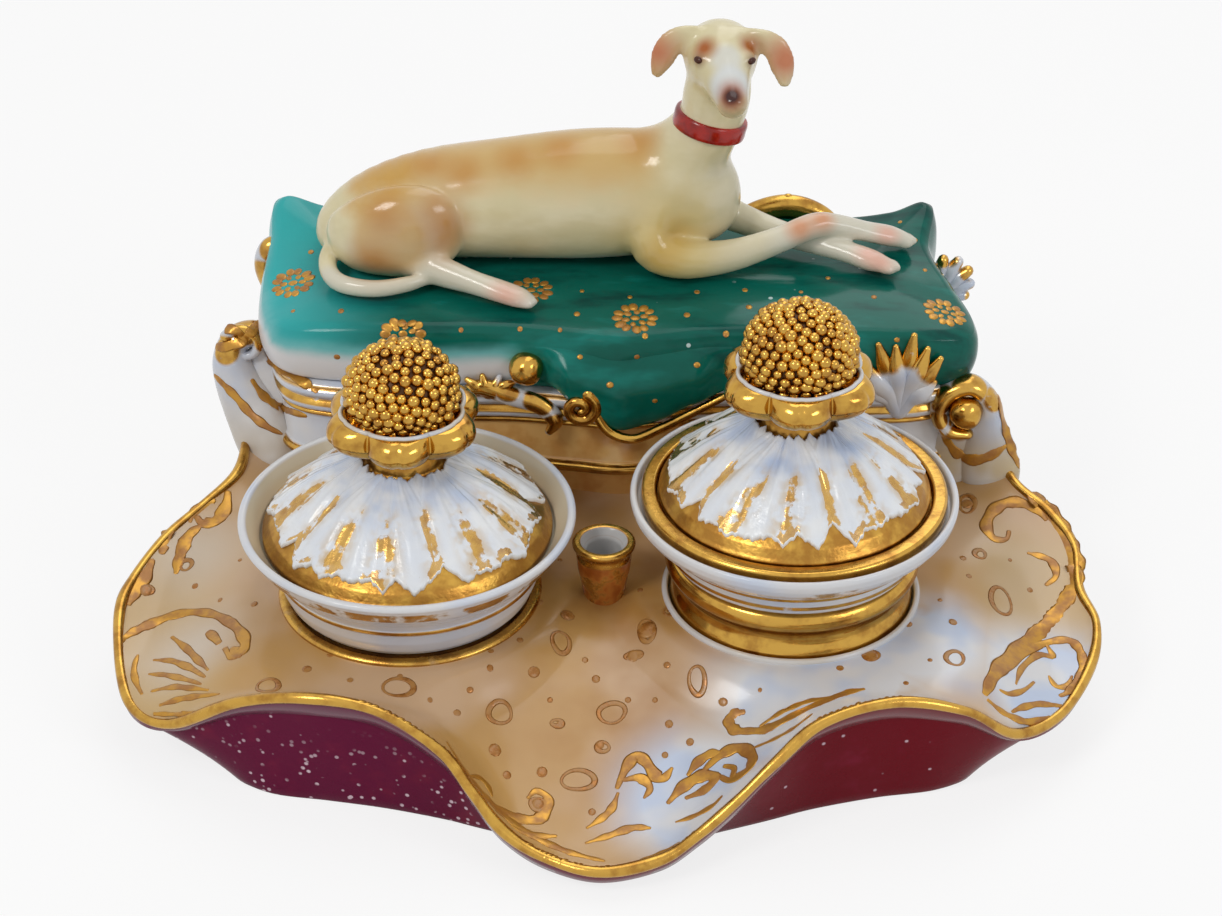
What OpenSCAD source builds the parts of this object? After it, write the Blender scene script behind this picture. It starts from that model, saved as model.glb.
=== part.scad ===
// Porcelain desk inkstand: a leaf-shaped tray with two lidded pots, a quill cup and a plinth
// whose cushion carries a reclining greyhound. Millimetres, +Z up, viewer at -Y.
// The origin is the centre of the footprint, on the surface the stand rests on.

/* [Tray] */
// height of the tray floor where the pots stand
tray_z = 28; // [27:0.5:29]
// thickness of the tray's dished top
dish_t = 5; // [4.5:0.25:5.5]
// thickness of the closing slab under the body
plate_t = 3; // [2.5:0.25:3.5]
// thickness of the outer wall
wall_t = 5; // [4:0.5:6]
// how far the floor falls from the pots to the tip of the front lobe
front_fall = 21; // [19:0.5:22]
// how far the floor falls from the pots into the side lobes
lobe_fall = 12; // [10:0.5:13]

/* [Pots] */
// radius of the left pot's rim
left_rim_r = 41.3; // [40.8:0.1:41.6]
// height of the left pot's rim above the tray floor
left_rim_h = 23.4; // [22.5:0.1:24.5]
// radius of the left pot where it enters its socket
left_foot_r = 28.9; // [28.5:0.1:29.3]
// how deep the left pot stands in its socket
left_sink = 6; // [5:0.5:6.5]
// radius of the right pot's rim
right_rim_r = 40; // [39.5:0.1:40.3]
// height of the right pot's rim above the tray floor
right_rim_h = 29.2; // [28.5:0.1:30]
// radius of the right pot's foot
right_foot_r = 29.9; // [29.6:0.1:30.2]
// how deep the right pot stands in its socket
right_sink = 3; // [2.5:0.5:4]
// clearance all round between a pot and its socket
socket_gap = 0.5; // [0.4:0.05:0.6]
// height of the gap between a loose piece and the seat it stands on
seat_gap = 0.3; // [0.3:0.05:0.4]

/* [Lids] */
// how far the left lid's edge stands in from its pot's rim
left_lid_inset = 5.8; // [5.5:0.1:6.2]
// how far the right lid's edge stands in from its pot's rim
right_lid_inset = 7; // [6.8:0.1:7.3]
// depth of the left lid's seat below the rim
lid_recess = 6; // [5.5:0.25:6.5]
// gap round a lid in its seat
lid_gap = 0.6; // [0.5:0.05:0.7]
// height of a lid from its edge to the foot of the calyx
lid_h = 27; // [26:0.25:28]
// half width of the berry cluster
berry_r = 14.2; // [13.8:0.1:14.5]
// half height of the berry cluster
berry_h = 12.6; // [12.2:0.1:12.8]

/* [Quill cup] */
// radius of the straight hole that holds the quill
quill_hole_r = 4.2; // [3.8:0.1:4.4]
// radius of the cup's lip
cup_lip_r = 7.8; // [7.5:0.1:8]
// height of the cup's lip above the ground
cup_top_z = 42; // [41:0.25:43]

/* [Plinth] */
// height of the plinth wall's top
plinth_top_z = 58; // [57:0.25:58.5]
// height of the cushion's flat middle
cushion_z = 78; // [77:0.25:78.5]
// thickness of the plinth wall
plinth_wall_t = 5; // [4:0.5:6]

/* [Hidden] */

// pot axes and cup axis
left_axis = [-48.7, -13.5];
right_axis = [45.6, -11.5];
cup_axis = [-0.7, -12];
// overlap where two fixed pieces are bedded together
bed = 0.6;
// samples round the tray and number of points per control span elsewhere
tray_n = 80;
span_n = 3;
// plan point that the tray's grid runs to
tray_mid = [0, -8];

gold = [0.75, 0.55, 0.15];
white = [0.93, 0.93, 0.95];
peach = [0.88, 0.74, 0.6];
purple = [0.4, 0.07, 0.2];
green = [0.05, 0.48, 0.42];
cream = [0.85, 0.76, 0.55];
red = [0.65, 0.08, 0.06];

// Wavy rim, from the front tip round by the right, the back and the left
rim_ctrl = [
    [0, -95.4, 7.4], [14, -92, 8.4], [23, -87, 12], [32, -82.4, 18.5], [41, -77, 25.6],
    [52, -70, 31.8], [69, -65, 34.2], [86, -62, 29.5], [99, -55.5, 18], [111, -45, 16],
    [120, -28, 18], [122.5, -16, 22], [119.5, -4, 24], [119.5, 11, 27], [114, 22, 30],
    [106, 31, 33], [102, 45, 35], [101, 62, 35], [98, 80, 33], [82, 92, 32],
    [40, 94.6, 32], [0, 95.4, 32], [-40, 94.6, 32], [-80, 92, 32], [-96, 80, 33],
    [-98, 62, 35], [-97, 45, 35], [-98, 32, 33], [-105.5, 22, 30], [-114.5, 10, 27],
    [-120.5, -3, 24], [-122.5, -15.5, 22], [-119.5, -35, 18], [-114, -48, 16], [-104, -54.5, 17.5],
    [-87, -61, 29], [-70, -67, 35], [-53.5, -69.5, 33.5], [-38, -75, 26], [-30.5, -81, 19],
    [-23, -86.5, 12], [-13, -91.8, 8.4]];

// Line on which the outer wall stands, paired with the rim points
foot_ctrl = [
    [0, -79], [9, -78], [19, -75.5], [29, -72], [40, -68],
    [51, -63.5], [66, -59], [80, -56], [88, -51], [91, -42],
    [93, -28], [94, -17], [94, -5], [94, 10], [93.5, 21],
    [93, 32], [93, 46], [93.5, 62], [91, 76], [78, 87.5],
    [40, 90.5], [0, 91], [-40, 90.5], [-76, 88], [-89, 76],
    [-91, 62], [-91, 46], [-92, 32], [-93, 21], [-94, 9],
    [-94.5, -4], [-94.5, -16], [-94, -32], [-92.5, -45], [-88.5, -54.5],
    [-80, -60], [-66, -62.5], [-52, -65.2], [-38, -69], [-29, -72],
    [-19, -75.2], [-9, -78]];

// Plan of the plinth wall
plinth_ctrl = [
    [-85, 44], [-79, 37], [-66, 34], [-48, 33.5], [-25, 33.5], [-9, 31.5], [2, 30],
    [13, 31.5], [26, 33.5], [46, 34], [66, 34], [80, 35.5], [88, 41], [90.5, 52], [90, 64],
    [88, 75], [79, 81.5], [58, 84], [30, 85], [0, 85.4], [-30, 85], [-58, 84], [-77, 81.5],
    [-86, 75], [-88, 60]];

// Edge of the cushion with the height of its upper edge
cushion_ctrl = [
    [-88, 46, 72.5], [-81, 38, 73.5], [-67, 35, 75], [-48, 34.2, 75.5], [-25, 34, 75.5],
    [-8, 32, 75], [2, 30.5, 75], [12, 32, 75], [26, 33.8, 75.5], [46, 34.2, 75.5],
    [66, 34.4, 75], [80, 35, 74], [90, 38.5, 72.5], [92.5, 47, 72.5], [90.5, 60, 75],
    [86, 74, 78.5], [84, 88.5, 83.6], [74, 89, 80.2], [59, 88.5, 78.5], [30, 89, 78],
    [0, 89.5, 78.5], [-30, 89, 78.5], [-60, 88.5, 79], [-77, 88.5, 81], [-88.5, 87.5, 84.5],
    [-89, 75, 79.5], [-89.5, 60, 75.5]];

function cr(a, b, c, d, t) =
    0.5 * (2 * b + (c - a) * t + (2 * a - 5 * b + 4 * c - d) * t * t + (3 * b - a - 3 * c + d) * t * t * t);
function loop_at(p, s) =
    let (n = len(p), i = floor(s), t = s - i)
    cr(p[(i - 1 + n) % n], p[i % n], p[(i + 1) % n], p[(i + 2) % n], t);
function loop_pts(p, n) = [for (k = [0:n - 1]) loop_at(p, k * len(p) / n)];
function path_at(p, s) =
    let (n = len(p), i = min(floor(s), n - 2), t = s - i)
    cr(p[max(i - 1, 0)], p[i], p[i + 1], p[min(i + 2, n - 1)], t);
function unit(v) = v / norm(v);
function clamp(v, a, b) = min(max(v, a), b);
function smooth(t) = let (c = clamp(t, 0, 1)) c * c * (3 - 2 * c);
function bell(d, w) = exp(-(d * d) / (w * w));
function xy(p) = [p[0], p[1]];

// closed plan curve moved outwards by d
function grown(p, d) =
    let (n = len(p))
    [for (k = [0:n - 1])
        let (a = xy(p[(k - 1 + n) % n]), b = xy(p[(k + 1) % n]), t = unit(b - a))
        xy(p[k]) + d * [t[1], -t[0]]];

// faces that join m rings of n points, first ring at index 0
function ring_faces(m, n) =
    [for (j = [0:m - 2]) for (k = [0:n - 1]) each [
        [j * n + k, (j + 1) * n + (k + 1) % n, j * n + (k + 1) % n],
        [j * n + k, (j + 1) * n + k, (j + 1) * n + (k + 1) % n]]];

// solid made of stacked rings of points, closed by a flat face at each end
module stacked(rings) {
    n = len(rings[0]);
    m = len(rings);
    first = [for (k = [0:n - 1]) k];
    last = [for (k = [n - 1:-1:0]) (m - 1) * n + k];
    polyhedron([for (r = rings) each r], concat([first], ring_faces(m, n), [last]), convexity = 8);
}

// rod along a smooth path of [x, y, z, half width, half height] points
module rod(path, n, sides, up = [0, 0, 1]) {
    top = len(path) - 1;
    rings = [for (i = [0:n]) let (
            s = i * top / n,
            c = path_at(path, s),
            a = path_at(path, max(s - 0.05, 0)),
            b = path_at(path, min(s + 0.05, top)),
            t = unit([b[0] - a[0], b[1] - a[1], b[2] - a[2]]),
            u = unit(cross(t, up)),
            v = cross(u, t))
        [for (k = [0:sides - 1]) let (w = -360 * k / sides)
            [c[0], c[1], c[2]] + c[3] * cos(w) * u + c[4] * sin(w) * v]];
    stacked(rings);
}

// Height of the tray floor before it turns up to the rim
function floor_z(p) = let (
        front = smooth((-14 - p[1]) / 78),
        mid = exp(-pow(abs(p[0]) / 40, 4)),
        side = smooth((abs(p[0]) - 82) / 34) * bell(p[1] + 27, 34),
        dip = bell(p[0], 9) * bell(p[1] + 14, 30),
        near = min(norm(p - left_axis), norm(p - right_axis)),
        open = 1 - smooth((46 - near) / 12))
    tray_z - open * (front_fall * front * mid + lobe_fall * side + 2 * dip);

// point of the dish top on ray k at fraction u of the way from the rim to the middle
function dish_pt(rim, u) = let (
        p = xy(rim) + u * (tray_mid - xy(rim)),
        lift = pow(1 - clamp(u / 0.2, 0, 1), 2))
    [p[0], p[1], floor_z(p) + (rim[2] - floor_z(p)) * lift];
function lowered(p, d) = [p[0], p[1], p[2] - d];

rim_pts = loop_pts(rim_ctrl, tray_n);
foot_pts = loop_pts(foot_ctrl, tray_n);
plinth_pts = loop_pts(plinth_ctrl, span_n * len(plinth_ctrl));
dish_u = [0.03, 0.08, 0.14, 0.21, 0.32, 0.5, 0.72];

// how far in from the rim the outer wall meets the dish, as a fraction of the way to the middle
function wall_in(k) = let (r = norm(xy(rim_pts[k]) - tray_mid))
    (2.4 + 12.8 * bell(rim_pts[k][0], 26) * (rim_pts[k][1] < -50 ? 1 : 0)) / r;
function inset(p, d) = let (q = xy(p) - d * unit(xy(p) - tray_mid)) [q[0], q[1]];

module base_plate() {
    color(white)
        linear_extrude(plate_t)
            polygon([for (p = foot_pts) inset(p, wall_t)]);
}

module tray_skirt() {
    n = tray_n;
    under = dish_t - bed;
    outer_top = [for (k = [0:n - 1]) lowered(dish_pt(rim_pts[k], wall_in(k)), under)];
    inner_top = [for (k = [0:n - 1])
        lowered(dish_pt(rim_pts[k], wall_in(k) + wall_t / norm(xy(rim_pts[k]) - tray_mid)), under)];
    outer_low = [for (p = foot_pts) [p[0], p[1], 0]];
    inner_low = [for (p = foot_pts) let (q = inset(p, wall_t)) [q[0], q[1], 0]];
    inner_mid = [for (q = inner_low) [q[0], q[1], plate_t]];
    color(purple)
        ring_solid([inner_low, outer_low], [inner_mid, inner_top, outer_top]);
}

module dish_blank() {
    n = tray_n;
    mid_top = [tray_mid[0], tray_mid[1], floor_z(tray_mid)];
    tops = [for (u = dish_u) [for (p = rim_pts) dish_pt(p, u)]];
    lows = [for (u = [0.72, 0.24, 0.03]) [for (p = rim_pts) lowered(dish_pt(p, u), dish_t)]];
    bead = [
        [for (p = rim_pts) let (q = inset(p, 0.3)) [q[0], q[1], p[2] - 3]],
        [for (p = rim_pts) [p[0], p[1], p[2] - 0.9]],
        [for (p = rim_pts) let (q = inset(p, 1.5)) [q[0], q[1], p[2] + 0.3]]];
    rings = concat(lows, bead, tops);
    m = len(rings);
    pts = concat([for (r = rings) each r], [mid_top, lowered(mid_top, dish_t)]);
    polyhedron(pts,
        concat(ring_faces(m, n),
            [for (k = [0:n - 1]) [(m - 1) * n + k, m * n, (m - 1) * n + (k + 1) % n]],
            [for (k = [0:n - 1]) [m * n + 1, k, (k + 1) % n]]),
        convexity = 8);
}

left_ring = 3.2;
right_ring = 1.6;
left_socket_r = left_foot_r + socket_gap;
right_socket_r = right_foot_r + socket_gap;
socket_floor = 3;

module tray_dish() {
    color(peach)
        difference() {
            dish_blank();
            translate([0, 0, -1])
                linear_extrude(100)
                    polygon(plinth_pts);
            translate([left_axis[0], left_axis[1], -1])
                cylinder(h = 100, r = left_socket_r + left_ring, $fn = 96);
            translate([right_axis[0], right_axis[1], -1])
                cylinder(h = 100, r = right_socket_r + right_ring, $fn = 96);
            translate([cup_axis[0], cup_axis[1], -1])
                cylinder(h = 100, r = cup_foot_r, $fn = 48);
        }
}

// cup-shaped socket: hole radius, width of the ring round it, depth of the hole, height of the lip
module socket(hole_r, ring, sink, lip) {
    out_r = hole_r + ring;
    low = -sink - socket_floor;
    rotate_extrude($fn = 96)
        polygon([[0, low], [out_r, low], [out_r, lip - 0.6], [out_r - 0.2 * ring, lip - 0.1],
            [out_r - 0.4 * ring, lip], [hole_r + 0.3 * ring, lip], [hole_r + 0.1 * ring, lip - 0.3],
            [hole_r, lip - 1], [hole_r, -sink], [0, -sink]]);
}

module left_socket() {
    color(gold)
        translate([left_axis[0], left_axis[1], tray_z])
            socket(left_socket_r, left_ring, left_sink, 1.2);
}

module right_socket() {
    color(white)
        translate([right_axis[0], right_axis[1], tray_z])
            socket(right_socket_r, right_ring, right_sink, 1);
}

cup_foot_r = 5.2;
cup_floor_z = 29;

module quill_cup() {
    low = tray_z - dish_t - 2;
    color(gold)
        translate([cup_axis[0], cup_axis[1], 0])
            rotate_extrude($fn = 64)
                polygon([[0, low], [cup_foot_r, low], [cup_foot_r, tray_z - 1], [5.6, tray_z + 1.5],
                    [6.5, tray_z + 6], [6.9, cup_top_z - 4], [6.8, cup_top_z - 2.6],
                    [cup_lip_r, cup_top_z - 1.2], [cup_lip_r, cup_top_z - 0.4],
                    [cup_lip_r - 0.5, cup_top_z], [5.9, cup_top_z],
                    [5.2, cup_top_z - 1], [quill_hole_r, cup_top_z - 2.5], [quill_hole_r, cup_floor_z],
                    [0, cup_floor_z]]);
}

module plan_band(z0, h, d_out, d_in) {
    translate([0, 0, z0])
        linear_extrude(h)
            difference() {
                polygon(grown(plinth_pts, d_out));
                polygon(d_in == 0 ? plinth_pts : grown(plinth_pts, d_in));
            }
}

module plinth_wall() {
    color(white)
        plan_band(plate_t, plinth_top_z - plate_t, 0, -plinth_wall_t);
}

// low gilt moulding round the foot of the plinth
module plinth_moulding() {
    z0 = tray_z + 6;
    color(gold) {
        plan_band(z0, 1, 0.9, 0);
        plan_band(z0 + 1, 1.6, 1.8, 0);
        plan_band(z0 + 2.6, 1, 0.9, 0);
    }
}

// stepped cornice under the cushion, left out where the drape hangs
module plinth_cornice() {
    color(white)
        difference() {
            union() {
                plan_band(plinth_top_z - 10, 2, 0.8, 0);
                plan_band(plinth_top_z - 8, 2, 1.8, 0);
                plan_band(plinth_top_z - 6, 2, 1.2, 0);
                plan_band(plinth_top_z - 4, 2.5, 2.4, 0);
                plan_band(plinth_top_z - 1.5, 1.5, 1.6, 0);
            }
            translate([-20, 0, 0])
                cube([54, 45, 100]);
        }
}

cushion_n = 2 * len(cushion_ctrl);
cushion_pts = loop_pts(cushion_ctrl, cushion_n);

// cushion edge ring grown by d, at the fraction b of the way up from height a to the cushion's edge
function cushion_ring(d, a, b) =
    let (g = grown(cushion_pts, d))
    [for (k = [0:cushion_n - 1]) [g[k][0], g[k][1], a + b * (cushion_pts[k][2] - a)]];

// ring on the cushion's top, drawn in towards its long middle line
function cushion_top(u) =
    [for (p = cushion_pts) let (
            q = [clamp(p[0], -62, 62), 60],
            s = xy(p) + u * (q - xy(p)),
            w = pow(1 - u, 2))
        [s[0], s[1], cushion_z * (1 - w) + p[2] * w]];

module cushion() {
    flat = [for (p = cushion_top(0.82)) [p[0], p[1], cushion_z]];
    color(green)
        stacked([
            cushion_ring(-0.5, plinth_top_z, 0),
            cushion_ring(1.2, plinth_top_z, 0.12),
            cushion_ring(2.4, plinth_top_z, 0.42),
            cushion_ring(2.2, plinth_top_z, 0.74),
            cushion_ring(0.8, plinth_top_z, 0.95),
            cushion_top(0.05),
            cushion_top(0.3),
            cushion_top(0.55),
            flat]);
}

drape_x0 = -19;
drape_x1 = 31;
drape_nx = 12;
drape_nz = 4;
drape_top_z = 68;
function drape_low(x) = x < 3 ? 51 + 10.5 * smooth((3 - x) / 21) : 51 + 8.5 * smooth((x - 3) / 30);
function drape_y(x, v) = 27.4 - 3.2 * bell(x - 3, 13) - 0.9 * sin(180 * v);

// back of the drape, bedded in the cushion above and against the plinth below
function drape_back(x) = 31.6 - 3.5 * bell(x - 2, 11) + bed;

// point of cloth that hangs over the plinth's front
module front_drape() {
    nx = drape_nx;
    nz = drape_nz;
    cols = [for (i = [0:nx]) let (
            x = drape_x0 + (drape_x1 - drape_x0) * i / nx,
            lo = drape_low(x),
            back = drape_back(x),
            tuck = 1.5 * smooth((plinth_top_z - 1 - lo) / 3),
            mid_z = max(plinth_top_z + 0.6, (lo + 1.2 + drape_top_z) / 2))
        concat(
            [[x, back + tuck, lo + 1.2], [x, back + 0.6, mid_z], [x, back, drape_top_z]],
            [for (j = [nz:-1:0]) [x, drape_y(x, j / nz), lo + (drape_top_z - lo) * j / nz]])];
    color(green)
        stacked(cols);
}

// scroll at the left end of the plinth
module left_bracket() {
    color(white)
        rod([[-90, 57, 57.5, 2.6, 4], [-94, 56.5, 59.6, 3.2, 4.4], [-98.5, 55, 58.4, 3.8, 4.4],
            [-100.6, 53.5, 53.4, 4.2, 4.2], [-100, 52, 47.5, 4.4, 4.4], [-98, 49.5, 41.5, 4.6, 4.8],
            [-95.5, 46, 36, 4.6, 5.4], [-93, 43, 30, 4, 5.4]], 15, 10, [0, 1, 0]);
}

// volute at the right front corner of the plinth: it rises from the tray and curls inwards
module right_volute() {
    color(white)
        rod([[102.6, 36, 31, 4.4, 4], [101.4, 37.5, 38, 3.8, 4.2], [99, 37.5, 46, 3.2, 4.2],
            [97.2, 36.5, 53.4, 2.8, 4], [92.4, 36, 58.4, 2.6, 3.8], [86.6, 35.5, 56.4, 2.5, 3.6],
            [84.4, 35, 51, 2.4, 3.6], [87, 34.5, 46.2, 2.2, 3.4], [91.6, 34.5, 45, 1.6, 2.8]],
            24, 10, [0, 1, 0]);
}

module volute_ball() {
    color(gold)
        translate([91.2, 33.4, 51.6])
            sphere(r = 4.4, $fn = 32);
}

// upright leaf beside the right volute
module plinth_leaf() {
    color(white)
        for (i = [0:4]) {
            a = [-38, -17, 3, 22, 40][i];
            l = [12, 17, 20, 17, 11][i];
            rod([[74, 33.5, 55, 3.4, 2], [74 + 0.5 * l * sin(a), 32.4, 55 + 0.5 * l * cos(a), 3.2, 1.9],
                [74 + l * sin(a), 31.8, 55 + l * cos(a), 0.9, 0.9]], 5, 8, [0, 1, 0]);
        }
}

// flat spiral scroll in front of the plinth: centre, height, largest radius, turns
module spiral(c, r0, turns, w) {
    n = 7;
    rod([for (i = [0:n]) let (
            a = 100 - turns * 360 * i / n,
            r = r0 * (1 - 0.78 * i / n),
            k = w * (1 - 0.35 * i / n))
        [c[0] + r * cos(a), c[1], c[2] + r * sin(a), k, k]], 20, 8, [0, 1, 0]);
}

module front_volute() {
    color(gold) {
        spiral([-7.5, 26.5, 57], 4.4, 1.1, 1.9);
        rod([[-5, 26.5, 61, 1.6, 1.6], [0, 25, 49.5, 1.6, 1.6], [6, 24.5, 48, 1.7, 1.5],
            [14, 27, 50.5, 1.6, 1.5], [24, 29.8, 55, 1.3, 1.3]], 10, 8, [0, 1, 0]);
    }
}

module front_scroll() {
    color(gold)
        rod([[-38, 32, 56, 1.2, 1.2], [-33, 31, 59, 2.2, 1.8], [-26, 30.6, 56.5, 2.6, 2],
            [-18, 30, 55, 2.6, 2], [-14, 29, 51, 2.2, 1.8], [-15.5, 29, 47.5, 1.1, 1]], 14, 8, [0, 1, 0]);
}

module front_ball() {
    color(gold)
        translate([-21.2, 30, 65.6])
            sphere(r = 4.4, $fn = 32);
}

module rear_crest() {
    color(gold)
        rod([[30, 88.5, 68, 3, 3], [35, 89.8, 76.6, 3.2, 2.8], [46, 90.3, 80.4, 3.4, 2.8],
            [56, 89.8, 77, 3.2, 2.8], [61, 88.5, 68, 3, 3]], 14, 8, [0, 1, 0]);
}

module rear_left_scroll() {
    color(white)
        rod([[-86, 80, 55, 4, 4], [-89.6, 79, 61, 4.2, 3.6], [-92, 77.5, 68, 3.6, 3.2],
            [-91, 77, 73.6, 3, 2.8], [-87.6, 78, 75.4, 2.2, 2.2]], 12, 8, [0, 1, 0]);
}

module rear_right_shell() {
    color(white)
        for (i = [0:3]) {
            a = [78, 48, 18, -8][i];
            l = [9, 12, 12, 9][i];
            rod([[85, 77, 61, 3.2, 2.6], [85 + 0.6 * l * sin(a), 76.5, 61 + 0.6 * l * cos(a), 3.6, 3],
                [85 + l * sin(a), 76, 61 + l * cos(a), 1.6, 1.6]], 6, 8, [0, 1, 0]);
        }
}

// the dog's paths are set out for a cushion top at this height
dog_bed_z = 78;

module on_cushion() {
    translate([0, 0, cushion_z - dog_bed_z])
        children();
}

module dog_body() {
    color(cream)
        on_cushion()
            rod([[-72, 65, 84.5, 2, 2.4], [-69, 65.5, 86, 8.5, 7.6], [-60, 67.4, 88.8, 13, 11],
            [-46, 69, 91.8, 14, 13.4], [-28, 69.6, 93.8, 13, 15], [-8, 70, 95, 13.6, 16.4],
            [10, 69.5, 95.4, 14, 16.6], [22, 68, 96, 12.6, 16], [29, 67, 96.5, 9.2, 12.6],
            [32, 66.5, 97.5, 3, 6]], 22, 16);
}

module dog_neck() {
    color(cream)
        on_cushion()
            rod([[14, 68.5, 98, 11.5, 12], [18.6, 67.5, 106, 10.6, 10.6], [23.6, 65.5, 114.4, 8.6, 8.6],
            [26, 64.5, 122, 7.6, 7.6], [27, 64, 129.4, 7.6, 7.4], [27, 64, 136, 6, 6]], 12, 14, [0, 1, 0]);
}

module dog_head() {
    color(cream)
        on_cushion()
            rod([[25.6, 73.5, 135.4, 2, 3], [26, 71.5, 135.8, 6.6, 6.2], [26.8, 66.5, 136.6, 8.8, 8.2],
            [27.6, 60.5, 136.8, 8.6, 8.2], [28.6, 54.5, 135, 7, 6.6], [29.5, 49, 132.8, 5.4, 5],
            [30, 46, 132.2, 4.6, 4], [30.2, 44.3, 132.2, 1.8, 1.6]], 18, 14);
}

module ear(path) {
    color(cream)
        on_cushion()
            rod(path, 10, 8, [0, 1, 0]);
}

module dog_left_ear() {
    ear([[22, 64, 140.6, 2.6, 1.8], [18, 63.5, 142.2, 2.8, 1.6], [14.4, 63, 140, 3.3, 1.5],
        [12.3, 62.5, 135.8, 2.8, 1.4], [11.2, 62.3, 132.6, 1, 1]]);
}

module dog_right_ear() {
    ear([[33, 64, 140.6, 2.6, 1.8], [37.4, 63, 141.8, 2.8, 1.6], [41, 62, 139.6, 3.3, 1.5],
        [42.6, 61, 135, 2.9, 1.4], [43.2, 60.4, 131, 1, 1]]);
}

module dog_collar() {
    color(red)
        on_cushion()
            translate([24.8, 65, 118])
                rotate([-4, 14, 0])
                    difference() {
                        cylinder(h = 4.6, r = 9.2, center = true, $fn = 64);
                        cylinder(h = 6, r = 7.4, center = true, $fn = 64);
                    }
}

module dog_near_foreleg() {
    color(cream)
        on_cushion()
            rod([[12, 60, 93, 5, 6], [10.5, 56, 86.5, 5.4, 6], [19, 55, 83.5, 5, 5],
            [33, 57.5, 84, 3.6, 3.8], [45, 61, 87, 3.2, 3.4], [54, 64.5, 88.3, 3.4, 3.4],
            [63, 67, 86, 3.2, 3], [72, 69, 83, 3.6, 2.8],
            [77, 70, 81.4, 1.6, 1.4]], 20, 10);
}

module dog_far_foreleg() {
    color(cream)
        on_cushion()
            rod([[26, 74, 88, 4.4, 4.4], [38, 72, 83.6, 3.4, 3.6], [50, 67, 82.4, 3.1, 3],
            [60, 62.5, 82, 3.2, 2.8], [67, 59.5, 81.6, 3.6, 2.8], [72, 57.6, 80.6, 1.6, 1.4]], 14, 10);
}

module dog_haunch() {
    color(cream)
        on_cushion()
            rod([[-70, 58, 86, 3, 5], [-66, 57, 87.5, 6, 8.5], [-57, 56.5, 89, 7.5, 11.5],
                [-48, 56, 91, 7, 11.5],
            [-42.5, 56, 92, 4.6, 8.5], [-40, 56, 92, 1.6, 3]], 12, 12);
}

module dog_near_hind_foot() {
    color(cream)
        on_cushion()
            rod([[-50, 52, 83, 3.6, 4.4], [-43, 48.5, 82.5, 3.8, 4.2], [-35, 45, 81.8, 3.2, 3.2],
            [-28, 42.4, 81, 3.6, 3], [-23, 40.8, 80.2, 3.4, 2.8], [-20.6, 40, 79.6, 1.2, 1.2]], 12, 8);
}

module dog_far_hind_foot() {
    color(cream)
        on_cushion()
            rod([[-62, 74, 84, 4, 3.6], [-70, 73.5, 84.5, 3, 2.6], [-75.5, 73, 84.6, 1.2, 1.2]], 6, 8);
}

module dog_tail() {
    color(cream)
        on_cushion()
            rod([[-71, 62, 85, 2.6, 2.6], [-73, 54, 81.5, 2.6, 2.8], [-69.5, 46.5, 80, 2.6, 2.6],
            [-61, 43.5, 80, 2.4, 2.4], [-52, 46, 80.5, 2.1, 2.1], [-45, 50, 81, 1.2, 1.2]], 14, 8);
}

// lids, and the waist of each pot, from which its wall and its well are set out
left_lid_r = left_rim_r - left_lid_inset;
right_lid_r = right_rim_r - right_lid_inset;
left_waist_r = left_rim_r - 8.5;
left_well_r = left_waist_r - 3.3;
right_waist_r = right_rim_r - 7;
flange_r = right_rim_r - 2.8;

module left_pot() {
    h = left_rim_h;
    seat = h - lid_recess;
    recess_r = left_lid_r + lid_gap;
    low = -left_sink + seat_gap;
    w = left_waist_r;
    color(white)
        translate([left_axis[0], left_axis[1], tray_z])
            rotate_extrude($fn = 96)
                polygon([[0, low], [left_foot_r - 1, low], [left_foot_r, low + 1], [left_foot_r, 1],
                    [w - 2.2, 3], [w - 1, 6], [w - 0.5, 8.8], [w, 9.3], [w, 10.1], [w - 0.2, 10.6],
                    [w + 0.8, 12.6], [w + 2.8, 14.8], [w + 5.4, 17.2], [w + 6.8, 19.4],
                    [left_rim_r - 0.7, h - 2.2], [left_rim_r, h - 1.2],
                    [left_rim_r - 0.2, h - 0.4], [left_rim_r - 0.9, h], [left_rim_r - 1.8, h - 0.2],
                    [left_rim_r - 2.4, h - 1], [recess_r, seat + 1.5], [recess_r, seat],
                    [recess_r - 3.4, seat],
                    [left_well_r, 12], [left_well_r - 3, 2], [22, -1], [0, -1.5]]);
}

module right_pot() {
    h = right_rim_h;
    ledge = h - 3;
    low = 6.5;
    f = right_foot_r;
    w = right_waist_r;
    color(white)
        translate([right_axis[0], right_axis[1], tray_z])
            rotate_extrude($fn = 96)
                polygon([[0, low - 5], [22, low - 5], [f - 2.4, low - 1], [f - 2.4, low], [f - 1.1, low],
                    [f - 0.7, 13.4], [w - 2.4, 14], [w - 2, 15.2], [w - 1.4, 15.6], [w - 1.4, 16.4],
                    [w - 0.8, 18.6], [w, 19], [w, 19.8], [w + 2.4, h - 7.7], [right_rim_r - 1.8, h - 5],
                    [right_rim_r - 0.3, h - 2.8], [right_rim_r, h - 1.2], [right_rim_r - 0.3, h - 0.3],
                    [right_rim_r - 0.9, h],
                    [right_rim_r - 1.5, h - 0.3], [flange_r + 1, h - 1], [flange_r + 1, ledge],
                    [w, ledge], [w - 1.6, 20], [w - 4, 12], [w - 7, low - 0.5], [0, low - 2]]);
}

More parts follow.
